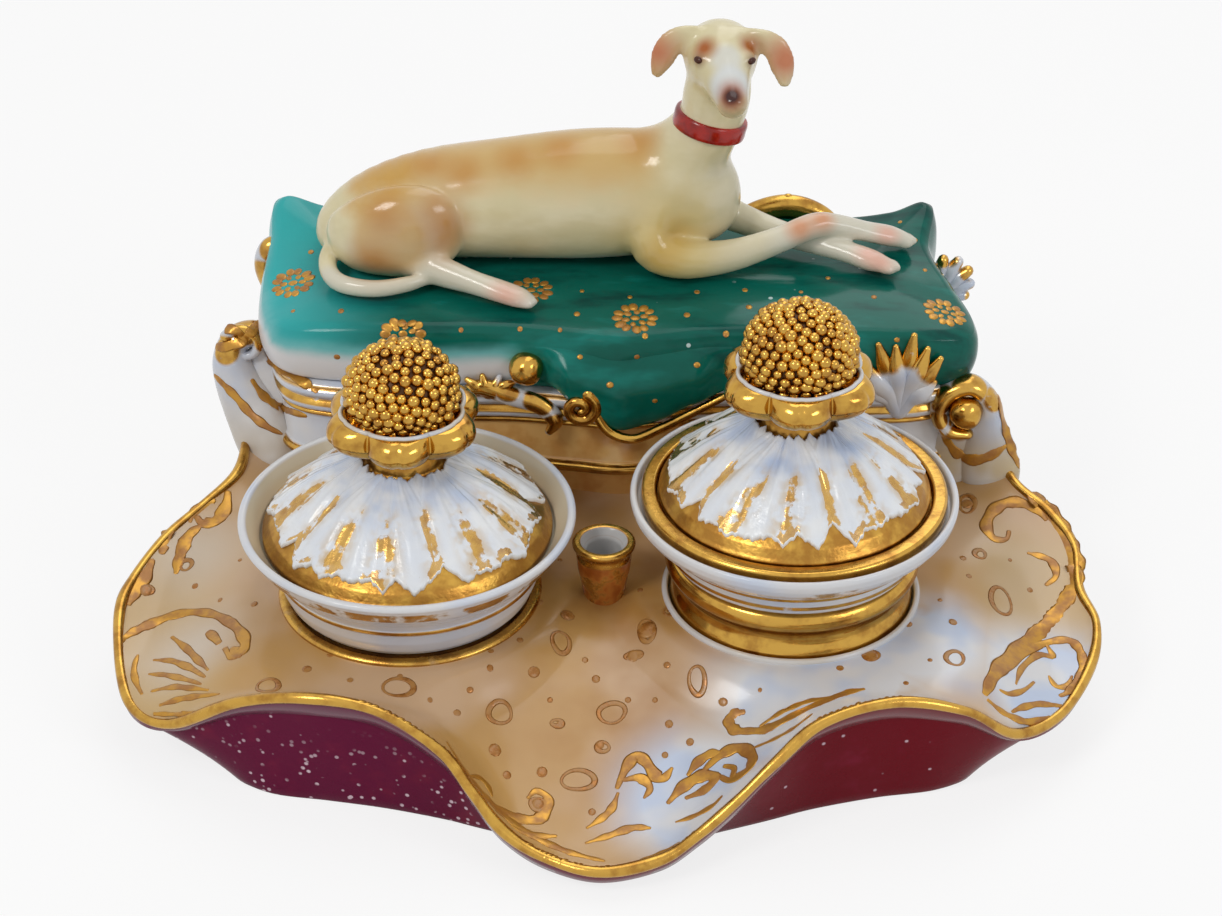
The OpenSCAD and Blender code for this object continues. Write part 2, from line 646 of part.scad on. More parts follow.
// gilt foot of the right pot: torus over a hollow curve, closed underneath
module right_foot() {
    low = -right_sink + seat_gap;
    f = right_foot_r;
    color(gold)
        translate([right_axis[0], right_axis[1], tray_z])
            rotate_extrude($fn = 96)
                polygon([[0, low], [f - 0.6, low], [f, low + 0.8], [f, 1], [f - 0.4, 2], [f - 1.2, 3.6],
                    [f - 1.5, 5], [f - 1.1, 6.6], [f - 0.1, 7.8], [f + 0.9, 8.6], [f + 1.5, 10],
                    [f + 1.3, 11.6], [f + 0.5, 12.8], [f - 0.7, 13.4], [f - 1.1, 6.5], [f - 2.4, 6.5],
                    [f - 2.4, 5.5], [22, 1.5], [0, 1.5]]);
}

liner_wall = 2.5;

module right_liner() {
    ledge = right_rim_h - 3 + seat_gap;
    lid_seat = right_rim_h - 1.2;
    seat_r = right_lid_r + lid_gap;
    out_r = right_waist_r - 4.4;
    color(gold)
        translate([right_axis[0], right_axis[1], tray_z])
            rotate_extrude($fn = 96)
                polygon([[0, 8], [out_r - 6, 8], [out_r - 2.5, 10], [out_r - 1, 14], [out_r, ledge],
                    [flange_r, ledge], [flange_r, right_rim_h + 0.3], [flange_r - 0.6, right_rim_h + 0.9],
                    [seat_r + 0.5, right_rim_h + 0.9], [seat_r, right_rim_h + 0.4], [seat_r, lid_seat],
                    [out_r - liner_wall + 0.6, lid_seat], [out_r - liner_wall, lid_seat - 0.6],
                    [out_r - liner_wall - 1, 15], [out_r - 8, 10.5], [0, 10.5]]);
}

// top line of a lid, height against radius, for a lid of radius r
function dome(q, r) = let (t = clamp(q / r, 0, 1))
    3 + (lid_h - 3) * (1 - pow(t, 1.25)) * (1 - 0.12 * sin(180 * t));

module lid(r) {
    rs = [for (i = [0:9]) r - 1.8 - (r - 1.8 - 9) * i / 9];
    color(gold)
        rotate_extrude($fn = 96)
            polygon(concat(
                [[0, lid_h - 5], [8, lid_h - 7], [r * 0.45, dome(r * 0.45, r) - 5],
                    [r * 0.7, dome(r * 0.7, r) - 5], [r - 7, 2.2], [r - 7, 0], [r - 0.4, 0], [r, 0.4],
                    [r, 1.8],
                    [r - 0.6, 2.5]],
                [for (q = rs) [q, dome(q, r)]],
                [[7, lid_h + 1.5], [0, lid_h + 1.5]]));
}

// Leaf rosette in relief over the lid: lobed edge, ribs that run out from the middle
leaf_n = 50;
function leaf_reach(a, r) =
    (r - 1.6) - 4.2 * pow(abs(cos(2.5 * a)), 5) - 0.9 * abs(sin(12.5 * a));
function leaf_rise(a, t) =
    1.5 + 0.8 * cos(12.5 * a) * t - 0.7 * cos(5 * a) * t * t + 3.4 * t * t * (1 - t);

module leaf(r) {
    us = [0.34, 0.62, 0.86, 1];
    function pt(a, t, d) = let (q = t * leaf_reach(a, r)) [q * cos(a), q * sin(a), dome(q, r) + d];
    tops = [for (t = us) [for (k = [0:leaf_n - 1]) let (a = 360 * k / leaf_n)
        pt(a, t, t == 1 ? 0.5 : leaf_rise(a, t))]];
    lows = [for (t = [us[0], 0.68, 1]) [for (k = [0:leaf_n - 1]) pt(360 * k / leaf_n, t, -bed)]];
    color(white)
        ring_solid(lows, tops);
}

// closed ring-shaped solid: lower rings run out from the middle, upper rings likewise
module ring_solid(low, top) {
    n = len(low[0]);
    inward = [for (i = [len(top) - 1:-1:0]) top[i]];
    rings = concat(low, inward);
    m = len(rings);
    polyhedron([for (r = rings) each r],
        concat(ring_faces(m, n), [for (k = [0:n - 1]) each [
            [(m - 1) * n + k, (k + 1) % n, (m - 1) * n + (k + 1) % n],
            [(m - 1) * n + k, k, (k + 1) % n]]]),
        convexity = 8);
}

// Calyx of six rounded petals under the berries
calyx_n = 36;
function petal(a) = pow(abs(cos(3 * a)), 0.7);

module calyx() {
    b = berry_r;
    prof = [[b - 6.7, -1.5, 0], [b - 1.7, -0.2, 0.35], [b + 1.8, 1.4, 0.9], [b + 3.8, 3.6, 1],
        [b + 3.8, 6, 0.9], [b + 2.2, 7.6, 0.6], [b + 0.4, 8.2, 0.25], [b - 1.2, 7.4, 0]];
    color(gold)
        stacked([for (p = prof) [for (k = [0:calyx_n - 1]) let (
                a = 360 * k / calyx_n,
                q = p[0] * (1 - 0.17 * p[2] * (1 - petal(a))) + 1.4 * p[2] * petal(a))
            [q * cos(a), q * sin(a), p[1]]]]);
}

// Cluster of berries: staggered rows of bumps on a flattened ball
berry_rows = 7;
berry_cols = 16;

module berries() {
    n = 2 * berry_cols;
    m = 2 * berry_rows;
    color(gold)
        stacked([for (j = [0.25, for (i = [1:m - 1]) i, m - 0.25]) [for (k = [0:n - 1]) let (
                th = 180 - 180 * j / m,
                row = floor(j / 2),
                up = (j % 2 == 1) ? (((k + row) % 2 == 0) ? 1 : 0.1) : 0.25,
                q = 1 - 0.08 + 0.08 * up,
                a = 360 * k / n)
            [berry_r * q * sin(th) * cos(a), berry_r * q * sin(th) * sin(a), berry_h * q * cos(th)]]]);
}

calyx_z = lid_h + 0.4;
berry_z = lid_h + 13;
left_lid_z = tray_z + left_rim_h - lid_recess + seat_gap;
right_lid_z = tray_z + right_rim_h - 1.2 + seat_gap;

module on_left_lid(z) {
    translate([left_axis[0], left_axis[1], left_lid_z + z])
        children();
}

module on_right_lid(z) {
    translate([right_axis[0], right_axis[1], right_lid_z + z])
        children();
}

module left_lid() {
    on_left_lid(0)
        lid(left_lid_r);
}

module left_lid_leaf() {
    on_left_lid(0)
        leaf(left_lid_r);
}

module left_calyx() {
    on_left_lid(calyx_z)
        calyx();
}

module left_berries() {
    on_left_lid(berry_z)
        berries();
}

module right_lid() {
    on_right_lid(0)
        lid(right_lid_r);
}

module right_lid_leaf() {
    on_right_lid(0)
        leaf(right_lid_r);
}

module right_calyx() {
    on_right_lid(calyx_z)
        calyx();
}

module right_berries() {
    on_right_lid(berry_z)
        berries();
}

base_plate();
tray_skirt();
tray_dish();
left_socket();
right_socket();
quill_cup();
plinth_wall();
plinth_moulding();
plinth_cornice();
cushion();
front_drape();
left_bracket();
right_volute();
volute_ball();
plinth_leaf();
front_volute();
front_scroll();
front_ball();
rear_crest();
rear_left_scroll();
rear_right_shell();
dog_body();
dog_neck();
dog_head();
dog_left_ear();
dog_right_ear();
dog_collar();
dog_near_foreleg();
dog_far_foreleg();
dog_haunch();
dog_near_hind_foot();
dog_far_hind_foot();
dog_tail();
left_pot();
left_lid();
left_lid_leaf();
left_calyx();
left_berries();
right_pot();
right_foot();
right_liner();
right_lid();
right_lid_leaf();
right_calyx();
right_berries();
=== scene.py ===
import itertools
import math

import bmesh
import bpy
import numpy as np
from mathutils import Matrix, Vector
from mathutils.bvhtree import BVHTree


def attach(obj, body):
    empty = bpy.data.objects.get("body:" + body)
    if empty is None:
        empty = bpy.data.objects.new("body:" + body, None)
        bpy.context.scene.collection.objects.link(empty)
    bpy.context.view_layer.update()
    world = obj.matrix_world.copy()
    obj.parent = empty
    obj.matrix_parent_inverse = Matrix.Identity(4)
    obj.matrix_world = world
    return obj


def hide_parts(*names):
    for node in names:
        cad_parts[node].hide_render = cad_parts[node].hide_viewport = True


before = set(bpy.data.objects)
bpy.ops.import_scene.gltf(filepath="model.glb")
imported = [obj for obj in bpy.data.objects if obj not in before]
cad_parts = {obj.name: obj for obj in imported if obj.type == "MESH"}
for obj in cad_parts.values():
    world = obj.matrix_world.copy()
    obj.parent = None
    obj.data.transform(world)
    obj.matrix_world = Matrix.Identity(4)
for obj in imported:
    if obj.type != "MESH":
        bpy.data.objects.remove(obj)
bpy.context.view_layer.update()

bl_info = {
    "name": "Porcelain inkstand",
    "version": (1, 0, 0),
    "blender": (4, 5, 0),
    "location": "View3D > Sidebar > Inkstand",
    "description": "Builds the visible pieces of a porcelain desk inkstand round its solid model",
    "category": "Object",
}

MM = 0.001


def unit(v):
    """Each row of v at length 1."""
    return v / np.linalg.norm(v, axis=-1)[..., None]


# Camera fitted to the photograph, in millimetres of the shared frame
AIM = np.array([0.5, 19.0, 46.0])
DISTANCE = 760.0
AZIMUTH = math.radians(1.0)
ELEVATION = math.radians(33.0)
PHOTO_W, PHOTO_H = 1222, 916
FOCAL_PX = 2994.4
SENSOR = 36.0
BACK = np.array([math.sin(AZIMUTH) * math.cos(ELEVATION), -math.cos(AZIMUTH) * math.cos(ELEVATION),
                 math.sin(ELEVATION)])
EYE = AIM + DISTANCE * BACK
RIGHT = unit(np.cross(-BACK, [0, 0, 1.0]))
UP = np.cross(RIGHT, -BACK)


def ray_through(px, py):
    """Direction from the camera through a pixel of the photograph."""
    d = -BACK + RIGHT * (px - PHOTO_W / 2) / FOCAL_PX + UP * (PHOTO_H / 2 - py) / FOCAL_PX
    return unit(d)


class Target:
    """Surface that painted marks are laid on."""

    def __init__(self, *objects):
        verts, faces = [], []
        for ob in objects:
            start = len(verts)
            verts += [tuple(c / MM for c in v.co) for v in ob.data.vertices]
            faces += [[start + i for i in p.vertices] for p in ob.data.polygons]
        self.tree = BVHTree.FromPolygons(verts, faces)

    def at_pixel(self, px, py):
        hit, normal, _, _ = self.tree.ray_cast(Vector(EYE), Vector(ray_through(px, py)))
        if hit is None:
            return None
        n = np.array(normal)
        return np.array(hit), (n if n @ (EYE - np.array(hit)) > 0 else -n)

    def nearest(self, point, facing):
        """Nearest place to a point, and its normal on the side that `facing` is on."""
        hit, normal, _, _ = self.tree.find_nearest(Vector(point))
        n = np.array(normal)
        return np.array(hit), (-n if n @ facing < 0 else n)


# Curves and heights that the solid model is set out with

TRAY_Z, DISH_T, WALL_T = 28.0, 5.0, 5.0
LEFT_AXIS = np.array([-48.7, -13.5])
RIGHT_AXIS = np.array([45.6, -11.5])
CUP_AXIS = np.array([-0.7, -12.0])
TRAY_MID = np.array([0.0, -8.0])
PLINTH_TOP, CUSHION_TOP = 58.0, 78.0
LID_H = 27.0
LEFT_LID_R, RIGHT_LID_R = 35.5, 33.0
LEFT_LID_Z, RIGHT_LID_Z = 45.7, 56.3

RIM = np.array([
    [0, -95.4, 7.4], [14, -92, 8.4], [23, -87, 12], [32, -82.4, 18.5], [41, -77, 25.6],
    [52, -70, 31.8], [69, -65, 34.2], [86, -62, 29.5], [99, -55.5, 18], [111, -45, 16],
    [120, -28, 18], [122.5, -16, 22], [119.5, -4, 24], [119.5, 11, 27], [114, 22, 30],
    [106, 31, 33], [102, 45, 35], [101, 62, 35], [98, 80, 33], [82, 92, 32],
    [40, 94.6, 32], [0, 95.4, 32], [-40, 94.6, 32], [-80, 92, 32], [-96, 80, 33],
    [-98, 62, 35], [-97, 45, 35], [-98, 32, 33], [-105.5, 22, 30], [-114.5, 10, 27],
    [-120.5, -3, 24], [-122.5, -15.5, 22], [-119.5, -35, 18], [-114, -48, 16], [-104, -54.5, 17.5],
    [-87, -61, 29], [-70, -67, 35], [-53.5, -69.5, 33.5], [-38, -75, 26], [-30.5, -81, 19],
    [-23, -86.5, 12], [-13, -91.8, 8.4]], float)

FOOT = np.array([
    [0, -79], [9, -78], [19, -75.5], [29, -72], [40, -68],
    [51, -63.5], [66, -59], [80, -56], [88, -51], [91, -42],
    [93, -28], [94, -17], [94, -5], [94, 10], [93.5, 21],
    [93, 32], [93, 46], [93.5, 62], [91, 76], [78, 87.5],
    [40, 90.5], [0, 91], [-40, 90.5], [-76, 88], [-89, 76],
    [-91, 62], [-91, 46], [-92, 32], [-93, 21], [-94, 9],
    [-94.5, -4], [-94.5, -16], [-94, -32], [-92.5, -45], [-88.5, -54.5],
    [-80, -60], [-66, -62.5], [-52, -65.2], [-38, -69], [-29, -72],
    [-19, -75.2], [-9, -78]], float)

PLINTH = np.array([
    [-85, 44], [-79, 37], [-66, 34], [-48, 33.5], [-25, 33.5], [-9, 31.5], [2, 30],
    [13, 31.5], [26, 33.5], [46, 34], [66, 34], [80, 35.5], [88, 41], [90.5, 52], [90, 64],
    [88, 75], [79, 81.5], [58, 84], [30, 85], [0, 85.4], [-30, 85], [-58, 84], [-77, 81.5],
    [-86, 75], [-88, 60]], float)

CUSHION = np.array([
    [-88, 46, 72.5], [-81, 38, 73.5], [-67, 35, 75], [-48, 34.2, 75.5], [-25, 34, 75.5],
    [-8, 32, 75], [2, 30.5, 75], [12, 32, 75], [26, 33.8, 75.5], [46, 34.2, 75.5],
    [66, 34.4, 75], [80, 35, 74], [90, 38.5, 72.5], [91.5, 47, 72.5], [87, 60, 75],
    [82, 74, 78.5], [83.6, 88.5, 83.6], [74, 89, 80.2], [59, 88.5, 78.5], [30, 89, 78],
    [0, 89.5, 78.5], [-30, 89, 78.5], [-60, 88.5, 79], [-77, 88.5, 81], [-88.5, 87.5, 84.5],
    [-89, 75, 79.5], [-89.5, 60, 75.5]], float)


def angles(n):
    """n even angles round a circle."""
    return 2 * np.pi * np.arange(n) / n


def smoothstep(t):
    t = np.clip(t, 0, 1)
    return t * t * (3 - 2 * t)


def bell(d, w):
    return np.exp(-(d * d) / (w * w))


def spline(a, b, c, d, t):
    return 0.5 * (2 * b + (c - a) * t + (2 * a - 5 * b + 4 * c - d) * t * t + (3 * b - a - 3 * c + d) * t ** 3)


def loop_points(ctrl, n):
    """n points of the smooth closed curve through ctrl."""
    m = len(ctrl)
    s = np.arange(n) * m / n
    i = np.floor(s).astype(int)
    t = (s - i)[:, None]
    return spline(ctrl[(i - 1) % m], ctrl[i % m], ctrl[(i + 1) % m], ctrl[(i + 2) % m], t)


def path_points(ctrl, n):
    """n points of the smooth open curve through ctrl."""
    ctrl = np.asarray(ctrl, float)
    m = len(ctrl)
    s = np.linspace(0, m - 1, n)
    i = np.minimum(np.floor(s).astype(int), m - 2)
    t = (s - i)[:, None]
    return spline(ctrl[np.maximum(i - 1, 0)], ctrl[i], ctrl[i + 1], ctrl[np.minimum(i + 2, m - 1)], t)


def grown(ring, d):
    """Closed plan curve moved outwards by d."""
    t = np.roll(ring, -1, 0)[:, :2] - np.roll(ring, 1, 0)[:, :2]
    t = unit(t)
    return ring[:, :2] + d * np.stack([t[:, 1], -t[:, 0]], 1)


def floor_z(p):
    """Height of the tray floor before it turns up to the rim."""
    x, y = p[..., 0], p[..., 1]
    front = smoothstep((-14 - y) / 78)
    mid = np.exp(-np.abs(x / 40) ** 4)
    side = smoothstep((np.abs(x) - 82) / 34) * bell(y + 27, 34)
    dip = bell(x, 9) * bell(y + 14, 30)
    near = np.minimum(np.linalg.norm(p - LEFT_AXIS, axis=-1), np.linalg.norm(p - RIGHT_AXIS, axis=-1))
    free = 1 - smoothstep((46 - near) / 12)
    return TRAY_Z - free * (21 * front * mid + 12 * side + 2 * dip)


def dish_ring(rim, u):
    """Points of the dish's top, a fraction u of the way from the rim to the middle."""
    u = np.broadcast_to(u, len(rim))
    p = rim[:, :2] + u[:, None] * (TRAY_MID - rim[:, :2])
    z = floor_z(p)
    lift = (1 - np.clip(u / 0.2, 0, 1)) ** 2
    return np.column_stack([p, z + (rim[:, 2] - z) * lift])


# Meshes


def grid_faces(rows, cols, first=0):
    """Quads that join `rows` closed rings of `cols` points."""
    j, k = np.meshgrid(np.arange(rows - 1), np.arange(cols), indexing="ij")
    a = first + j * cols + k
    b = first + j * cols + (k + 1) % cols
    c = first + (j + 1) * cols + (k + 1) % cols
    d = first + (j + 1) * cols + k
    return np.stack([a, b, c, d], -1).reshape(-1, 4).tolist()


def linked(name, data):
    ob = bpy.data.objects.new(name, data)
    bpy.context.scene.collection.objects.link(ob)
    return ob


def smooth(mesh, sharp=None):
    mesh.polygons.foreach_set("use_smooth", np.ones(len(mesh.polygons), bool))
    if sharp is not None:
        mesh.set_sharp_from_angle(angle=math.radians(sharp))


def piece(name, verts, faces, materials, body, replaces=(), slot=None, values=None, spots=None, sharp=None):
    """A closed piece from points in millimetres, with outward faces, riding on its body."""
    mesh = bpy.data.meshes.new(name)
    mesh.from_pydata((np.asarray(verts, float) * MM).tolist(), [], faces)
    for key, data in (values or {}).items():
        layer = mesh.attributes.new(key, "FLOAT", "POINT")
        layer.data.foreach_set("value", np.asarray(data, np.float32))
    materials = materials if isinstance(materials, (list, tuple)) else [materials]
    for m in materials:
        mesh.materials.append(m)
    if spots is not None:
        mesh.polygons.foreach_set("material_index", np.asarray(spots, np.int32))
    smooth(mesh)
    mesh.validate()
    bm = bmesh.new()
    bm.from_mesh(mesh)
    if bm.calc_volume(signed=True) < 0:
        bmesh.ops.reverse_faces(bm, faces=bm.faces[:])
    bm.to_mesh(mesh)
    bm.free()
    if sharp is not None:
        mesh.set_sharp_from_angle(angle=math.radians(sharp))
    return settle(name, mesh, body, replaces)


def settle(name, mesh, body, replaces=()):
    """Puts a finished mesh in the scene as a piece that rides on a body."""
    mesh.name = name
    ob = linked(name, mesh)
    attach(ob, body)
    if replaces:
        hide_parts(*replaces)
    return ob


def capped(rings, first, last):
    """Points and faces of rings closed by a fan to a point at each end."""
    n = len(rings[0])
    faces = grid_faces(len(rings), n)
    a, b, end = len(rings) * n, len(rings) * n + 1, (len(rings) - 1) * n
    faces += [[a, (k + 1) % n, k] for k in range(n)]
    faces += [[b, end + k, end + (k + 1) % n] for k in range(n)]
    return np.vstack([*rings, [first], [last]]), faces


def stack(rings):
    """Points and faces of stacked closed rings with a fan at each end."""
    rings = [np.asarray(r, float) for r in rings]
    return capped(rings, rings[0].mean(0), rings[-1].mean(0))


def torus_like(rings):
    """Points and faces of closed rings joined into a closed band."""
    n = len(rings[0])
    verts = np.vstack(rings)
    faces = grid_faces(len(rings), n)
    last = (len(rings) - 1) * n
    faces += [[last + k, last + (k + 1) % n, (k + 1) % n, k] for k in range(n)]
    return verts, faces


def eased(profile, reach=0.45):
    """Profile polygon with each corner drawn as a small round."""
    p = np.asarray(profile, float)
    out = []
    for i in range(len(p)):
        a, b, c = p[i - 1], p[i], p[(i + 1) % len(p)]
        if b[0] <= 1e-6:
            out.append(b)
            continue
        ea, ec = a - b, c - b
        la, lc = np.linalg.norm(ea), np.linalg.norm(ec)
        s = min(reach, 0.35 * la, 0.35 * lc)
        p0, p2 = b + ea / la * s, b + ec / lc * s
        for t in (0, 0.33, 0.67, 1):
            out.append((1 - t) ** 2 * p0 + 2 * t * (1 - t) * b + t * t * p2)
    return np.array(out)


def lathe(profile, axis, base_z=0.0, n=192, reach=0.45):
    """Turned solid from a profile that starts and ends on the axis."""
    p = eased(profile, reach)
    inner = p[p[:, 0] > 1e-6]
    ends = p[p[:, 0] <= 1e-6]
    w = angles(n)
    rings = [np.column_stack([axis[0] + r * np.cos(w), axis[1] + r * np.sin(w), np.full(n, base_z + z)])
             for r, z in inner]
    return capped(rings, [*axis, base_z + ends[0, 1]], [*axis, base_z + ends[-1, 1]])


def tube(path, sides=14, up=(0, 0, 1), caps=3):
    """Rod along a path of [x, y, z, half width, half height] points, with rounded ends."""
    path = np.asarray(path, float)
    c = path[:, :3]
    t = unit(np.gradient(c, axis=0))
    up = np.broadcast_to(np.asarray(up, float), t.shape)
    u = np.cross(t, up)
    u = u / np.maximum(np.linalg.norm(u, axis=1)[:, None], 1e-9)
    v = np.cross(u, t)
    w = -angles(sides)
    rings = []

    def ring(i, centre, k):
        rings.append(centre + path[i, 3] * k * np.cos(w)[:, None] * u[i] + path[i, 4] * k * np.sin(w)[:, None] * v[i])

    r0, r1 = path[0, 3:].mean(), path[-1, 3:].mean()
    for a in np.linspace(80, 90 / (caps + 1), caps):
        s = math.radians(a)
        ring(0, c[0] - t[0] * r0 * math.sin(s), math.cos(s))
    for i in range(len(path)):
        ring(i, c[i], 1)
    for a in np.linspace(90 / (caps + 1), 80, caps):
        s = math.radians(a)
        ring(len(path) - 1, c[-1] + t[-1] * r1 * math.sin(s), math.cos(s))
    return stack(rings)


def loop_rod(p, up, wide, high, sides):
    """Flattened rod round a closed line of points."""
    t = unit(np.roll(p, -1, 0) - np.roll(p, 1, 0))
    u = unit(np.cross(t, up))
    v = np.cross(u, t)
    return torus_like([p + wide * math.cos(k) * u + high * math.sin(k) * v for k in angles(sides)])


def oval(centre, a, b, c, n, steps, cap, swirl=0.0):
    """Closed oval with half axes a, b and c and its poles along c; swirl turns faint grooves into it."""
    w = angles(n)
    rings = []
    for th in np.linspace(cap, 180 - cap, steps):
        s, k = math.sin(math.radians(th)), math.cos(math.radians(th))
        groove = s * (1 + swirl * np.cos(3 * w + th * 0.05))
        rings.append(np.asarray(centre) + np.outer(groove * np.cos(w), a) + np.outer(groove * np.sin(w), b)
                     + k * np.asarray(c))
    return stack(rings)


def joined(parts):
    """Several (points, faces) as one."""
    verts, faces, n = [], [], 0
    for v, f in parts:
        verts.append(v)
        faces += [[n + i for i in q] for q in f]
        n += len(v)
    return np.vstack(verts), faces


# Materials


class Nodes:
    """A node tree that nodes are added to."""

    def __init__(self, tree):
        self.tree = tree

    def node(self, kind, settings=None, inputs=None):
        """Adds a node: its settings first, then the values or links of its sockets."""
        n = self.tree.nodes.new(kind)
        for key, value in (settings or {}).items():
            setattr(n, key, value)
        for key, value in (inputs or {}).items():
            value = getattr(value, "socket", value)
            if isinstance(value, bpy.types.NodeSocket):
                self.tree.links.new(value, n.inputs[key])
            else:
                n.inputs[key].default_value = value
        return n


class Wire:
    """One output of a material's node; sums on it add Math nodes."""

    def __init__(self, paint, socket):
        self.paint = paint
        self.socket = socket

    def _sum(self, kind, a, b=0.0, clamp=False):
        n = self.paint.node("ShaderNodeMath", {"operation": kind, "use_clamp": clamp}, {0: a, 1: b})
        return Wire(self.paint, n.outputs[0])

    def __add__(self, o): return self._sum("ADD", self, o)
    def __radd__(self, o): return self._sum("ADD", o, self)
    def __sub__(self, o): return self._sum("SUBTRACT", self, o)
    def __rsub__(self, o): return self._sum("SUBTRACT", o, self)
    def __mul__(self, o): return self._sum("MULTIPLY", self, o)
    def __rmul__(self, o): return self._sum("MULTIPLY", o, self)
    def __truediv__(self, o): return self._sum("DIVIDE", self, o)
    def __rtruediv__(self, o): return self._sum("DIVIDE", o, self)
    def __pow__(self, o): return self._sum("POWER", self, o)
    def __neg__(self): return self._sum("MULTIPLY", self, -1.0)
    def __abs__(self): return self._sum("ABSOLUTE", self)
    def low(self, o): return self._sum("MINIMUM", self, o)
    def high(self, o): return self._sum("MAXIMUM", self, o)
    def held(self): return self._sum("ADD", self, 0.0, True)

    def ramp(self, a, b):
        """0 at a and 1 at b, eased between them."""
        n = self.paint.node("ShaderNodeMapRange", {"interpolation_type": "SMOOTHSTEP"}, {0: self, 1: a, 2: b})
        return Wire(self.paint, n.outputs[0])


class Paint(Nodes):
    """Builds one procedural material."""

    def __init__(self, name, **fixed):
        self.mat = bpy.data.materials.new(name)
        self.mat.use_nodes = True
        super().__init__(self.mat.node_tree)
        self.shader = self.tree.nodes["Principled BSDF"]
        self._xyz = None
        for key, value in fixed.items():
            self.shader.inputs[key.replace("_", " ")].default_value = value

    def put(self, key, value):
        """Feeds one socket of the shader."""
        if isinstance(value, Wire):
            self.tree.links.new(value.socket, self.shader.inputs[key])
        else:
            self.shader.inputs[key].default_value = value

    def place(self):
        return Wire(self, self.node("ShaderNodeTexCoord").outputs["Object"])

    def xyz(self):
        """Object coordinates in millimetres."""
        if self._xyz is None:
            n = self.node("ShaderNodeSeparateXYZ", None, {0: self.place()})
            self._xyz = [Wire(self, n.outputs[i]) * 1000.0 for i in range(3)]
        return self._xyz

    def value(self, key):
        return Wire(self, self.node("ShaderNodeAttribute", {"attribute_name": key}).outputs["Fac"])

    def noise(self, size, detail=2.0, rough=0.5, stretch=None):
        """Soft mottling whose patches are about `size` millimetres across."""
        where = self.place()
        if stretch:
            where = Wire(self, self.node("ShaderNodeMapping", None, {0: where, 3: stretch}).outputs[0])
        n = self.node("ShaderNodeTexNoise", None, {"Vector": where, "Scale": 1000.0 / size, "Detail": detail,
                                                   "Roughness": rough})
        return Wire(self, n.outputs[0])

    def cells(self, size):
        """Distance to the nearest of points scattered about `size` millimetres apart, 0 to 1."""
        n = self.node("ShaderNodeTexVoronoi", None, {"Vector": self.place(), "Scale": 1000.0 / size})
        return Wire(self, n.outputs["Distance"])

    def near(self, x, y, z, reach):
        """1 at a point in millimetres, fading to 0 at `reach` from it."""
        px, py, pz = self.xyz()
        d2 = (px - x) ** 2.0 + (py - y) ** 2.0 + (pz - z) ** 2.0
        return (d2 ** 0.5).ramp(reach, 0.0)

    def blend(self, a, b, share):
        n = self.node("ShaderNodeMix", {"data_type": "RGBA", "clamp_factor": True}, {0: share, 6: a, 7: b})
        return Wire(self, n.outputs[2])

    def relief(self, height, depth):
        """Normal from a height that runs from 0 to 1 over `depth` millimetres."""
        n = self.node("ShaderNodeBump", None, {"Strength": 1.0, "Distance": depth * MM, "Height": height})
        self.put("Normal", Wire(self, n.outputs[0]))


def ink(r, g, b):
    """Colour of 0 to 255 screen values, as light."""
    def one(c):
        c = c / 255
        return c / 12.92 if c <= 0.04045 else ((c + 0.055) / 1.055) ** 2.4
    return (one(r), one(g), one(b), 1.0)


WHITE = ink(216, 216, 218)
COOL = ink(190, 202, 224)
CREAM = ink(200, 178, 134)
PEACH = ink(190, 148, 88)
TAN = ink(164, 112, 46)
PINK = ink(202, 168, 132)


def glaze(name, **fixed):
    usual = {"Roughness": 0.17, "IOR": 1.5, "Coat_Weight": 0.12, "Coat_Roughness": 0.09, "Specular_IOR_Level": 0.36}
    return Paint(name, **{**usual, **fixed})


def gold_into(p, base, share, rough=0.27, wear=0.42):
    """Mixes burnished gilding over a glazed ground by a mask, or everywhere when the mask is None."""
    worn = p.noise(5.5, 3.0, 0.6)
    gilt = p.blend(chosen("gilt"), chosen("gilt_dark"), worn.ramp(wear, wear + 0.3))
    fine = p.noise(1.3, 3.0, 0.6)
    shine = rough + (fine - 0.5) * 0.22
    if share is None:
        p.put("Base Color", gilt)
        p.put("Metallic", 1.0)
        p.put("Roughness", shine)
    else:
        p.put("Base Color", p.blend(base, gilt, share))
        p.put("Metallic", share * 1.0)
        p.put("Roughness", 0.16 + share * (shine - 0.16))
    return fine


def gilt_material(name="gilt", rough=0.24, depth=0.05, wear=0.42):
    p = Paint(name, IOR=1.5)
    fine = gold_into(p, None, None, rough, wear)
    p.relief(fine + p.noise(7.0, 1.0) * 1.5, depth)
    return p.mat


def gilding(name, rough, depth, wear=0.42):
    return made_once(name, lambda: gilt_material(name, rough, depth, wear))


def white_material(name="white_glaze", warm=0.35):
    p = glaze(name)
    tone = p.noise(28.0, 2.0)
    shade = p.blend(COOL, CREAM, p.noise(40.0).ramp(0.45, 0.6))
    p.put("Base Color", p.blend(WHITE, shade, tone.ramp(0.4, 0.75) * warm * 1.6))
    p.relief(p.noise(9.0, 1.0), 0.06)
    return p.mat


# Sizes and colours a user may change


def length(name, description, millimetres):
    return bpy.props.FloatProperty(name=name, description=description, default=millimetres * MM, unit="LENGTH")


def colour(name, description, *light):
    return bpy.props.FloatVectorProperty(name=name, description=description, subtype="COLOR", size=3, default=light)


class InkstandSizes(bpy.types.PropertyGroup):
    rim_bead: length("Rim bead", "Radius of the gilt bead on the tray's rim", 1.35)
    berry: length("Berry", "Radius of one berry of a lid's knob", 1.42)
    berry_count: bpy.props.IntProperty(name="Berries", description="How many berries one knob has", default=290)
    leaf_relief: length("Leaf relief", "Height of the ribs of a lid's leaf", 1.0)
    mark_height: length("Gilding height", "How far painted gilding stands proud", 0.11)
    dot: length("Dot", "Radius of a gilt dot on the cushion", 0.75)


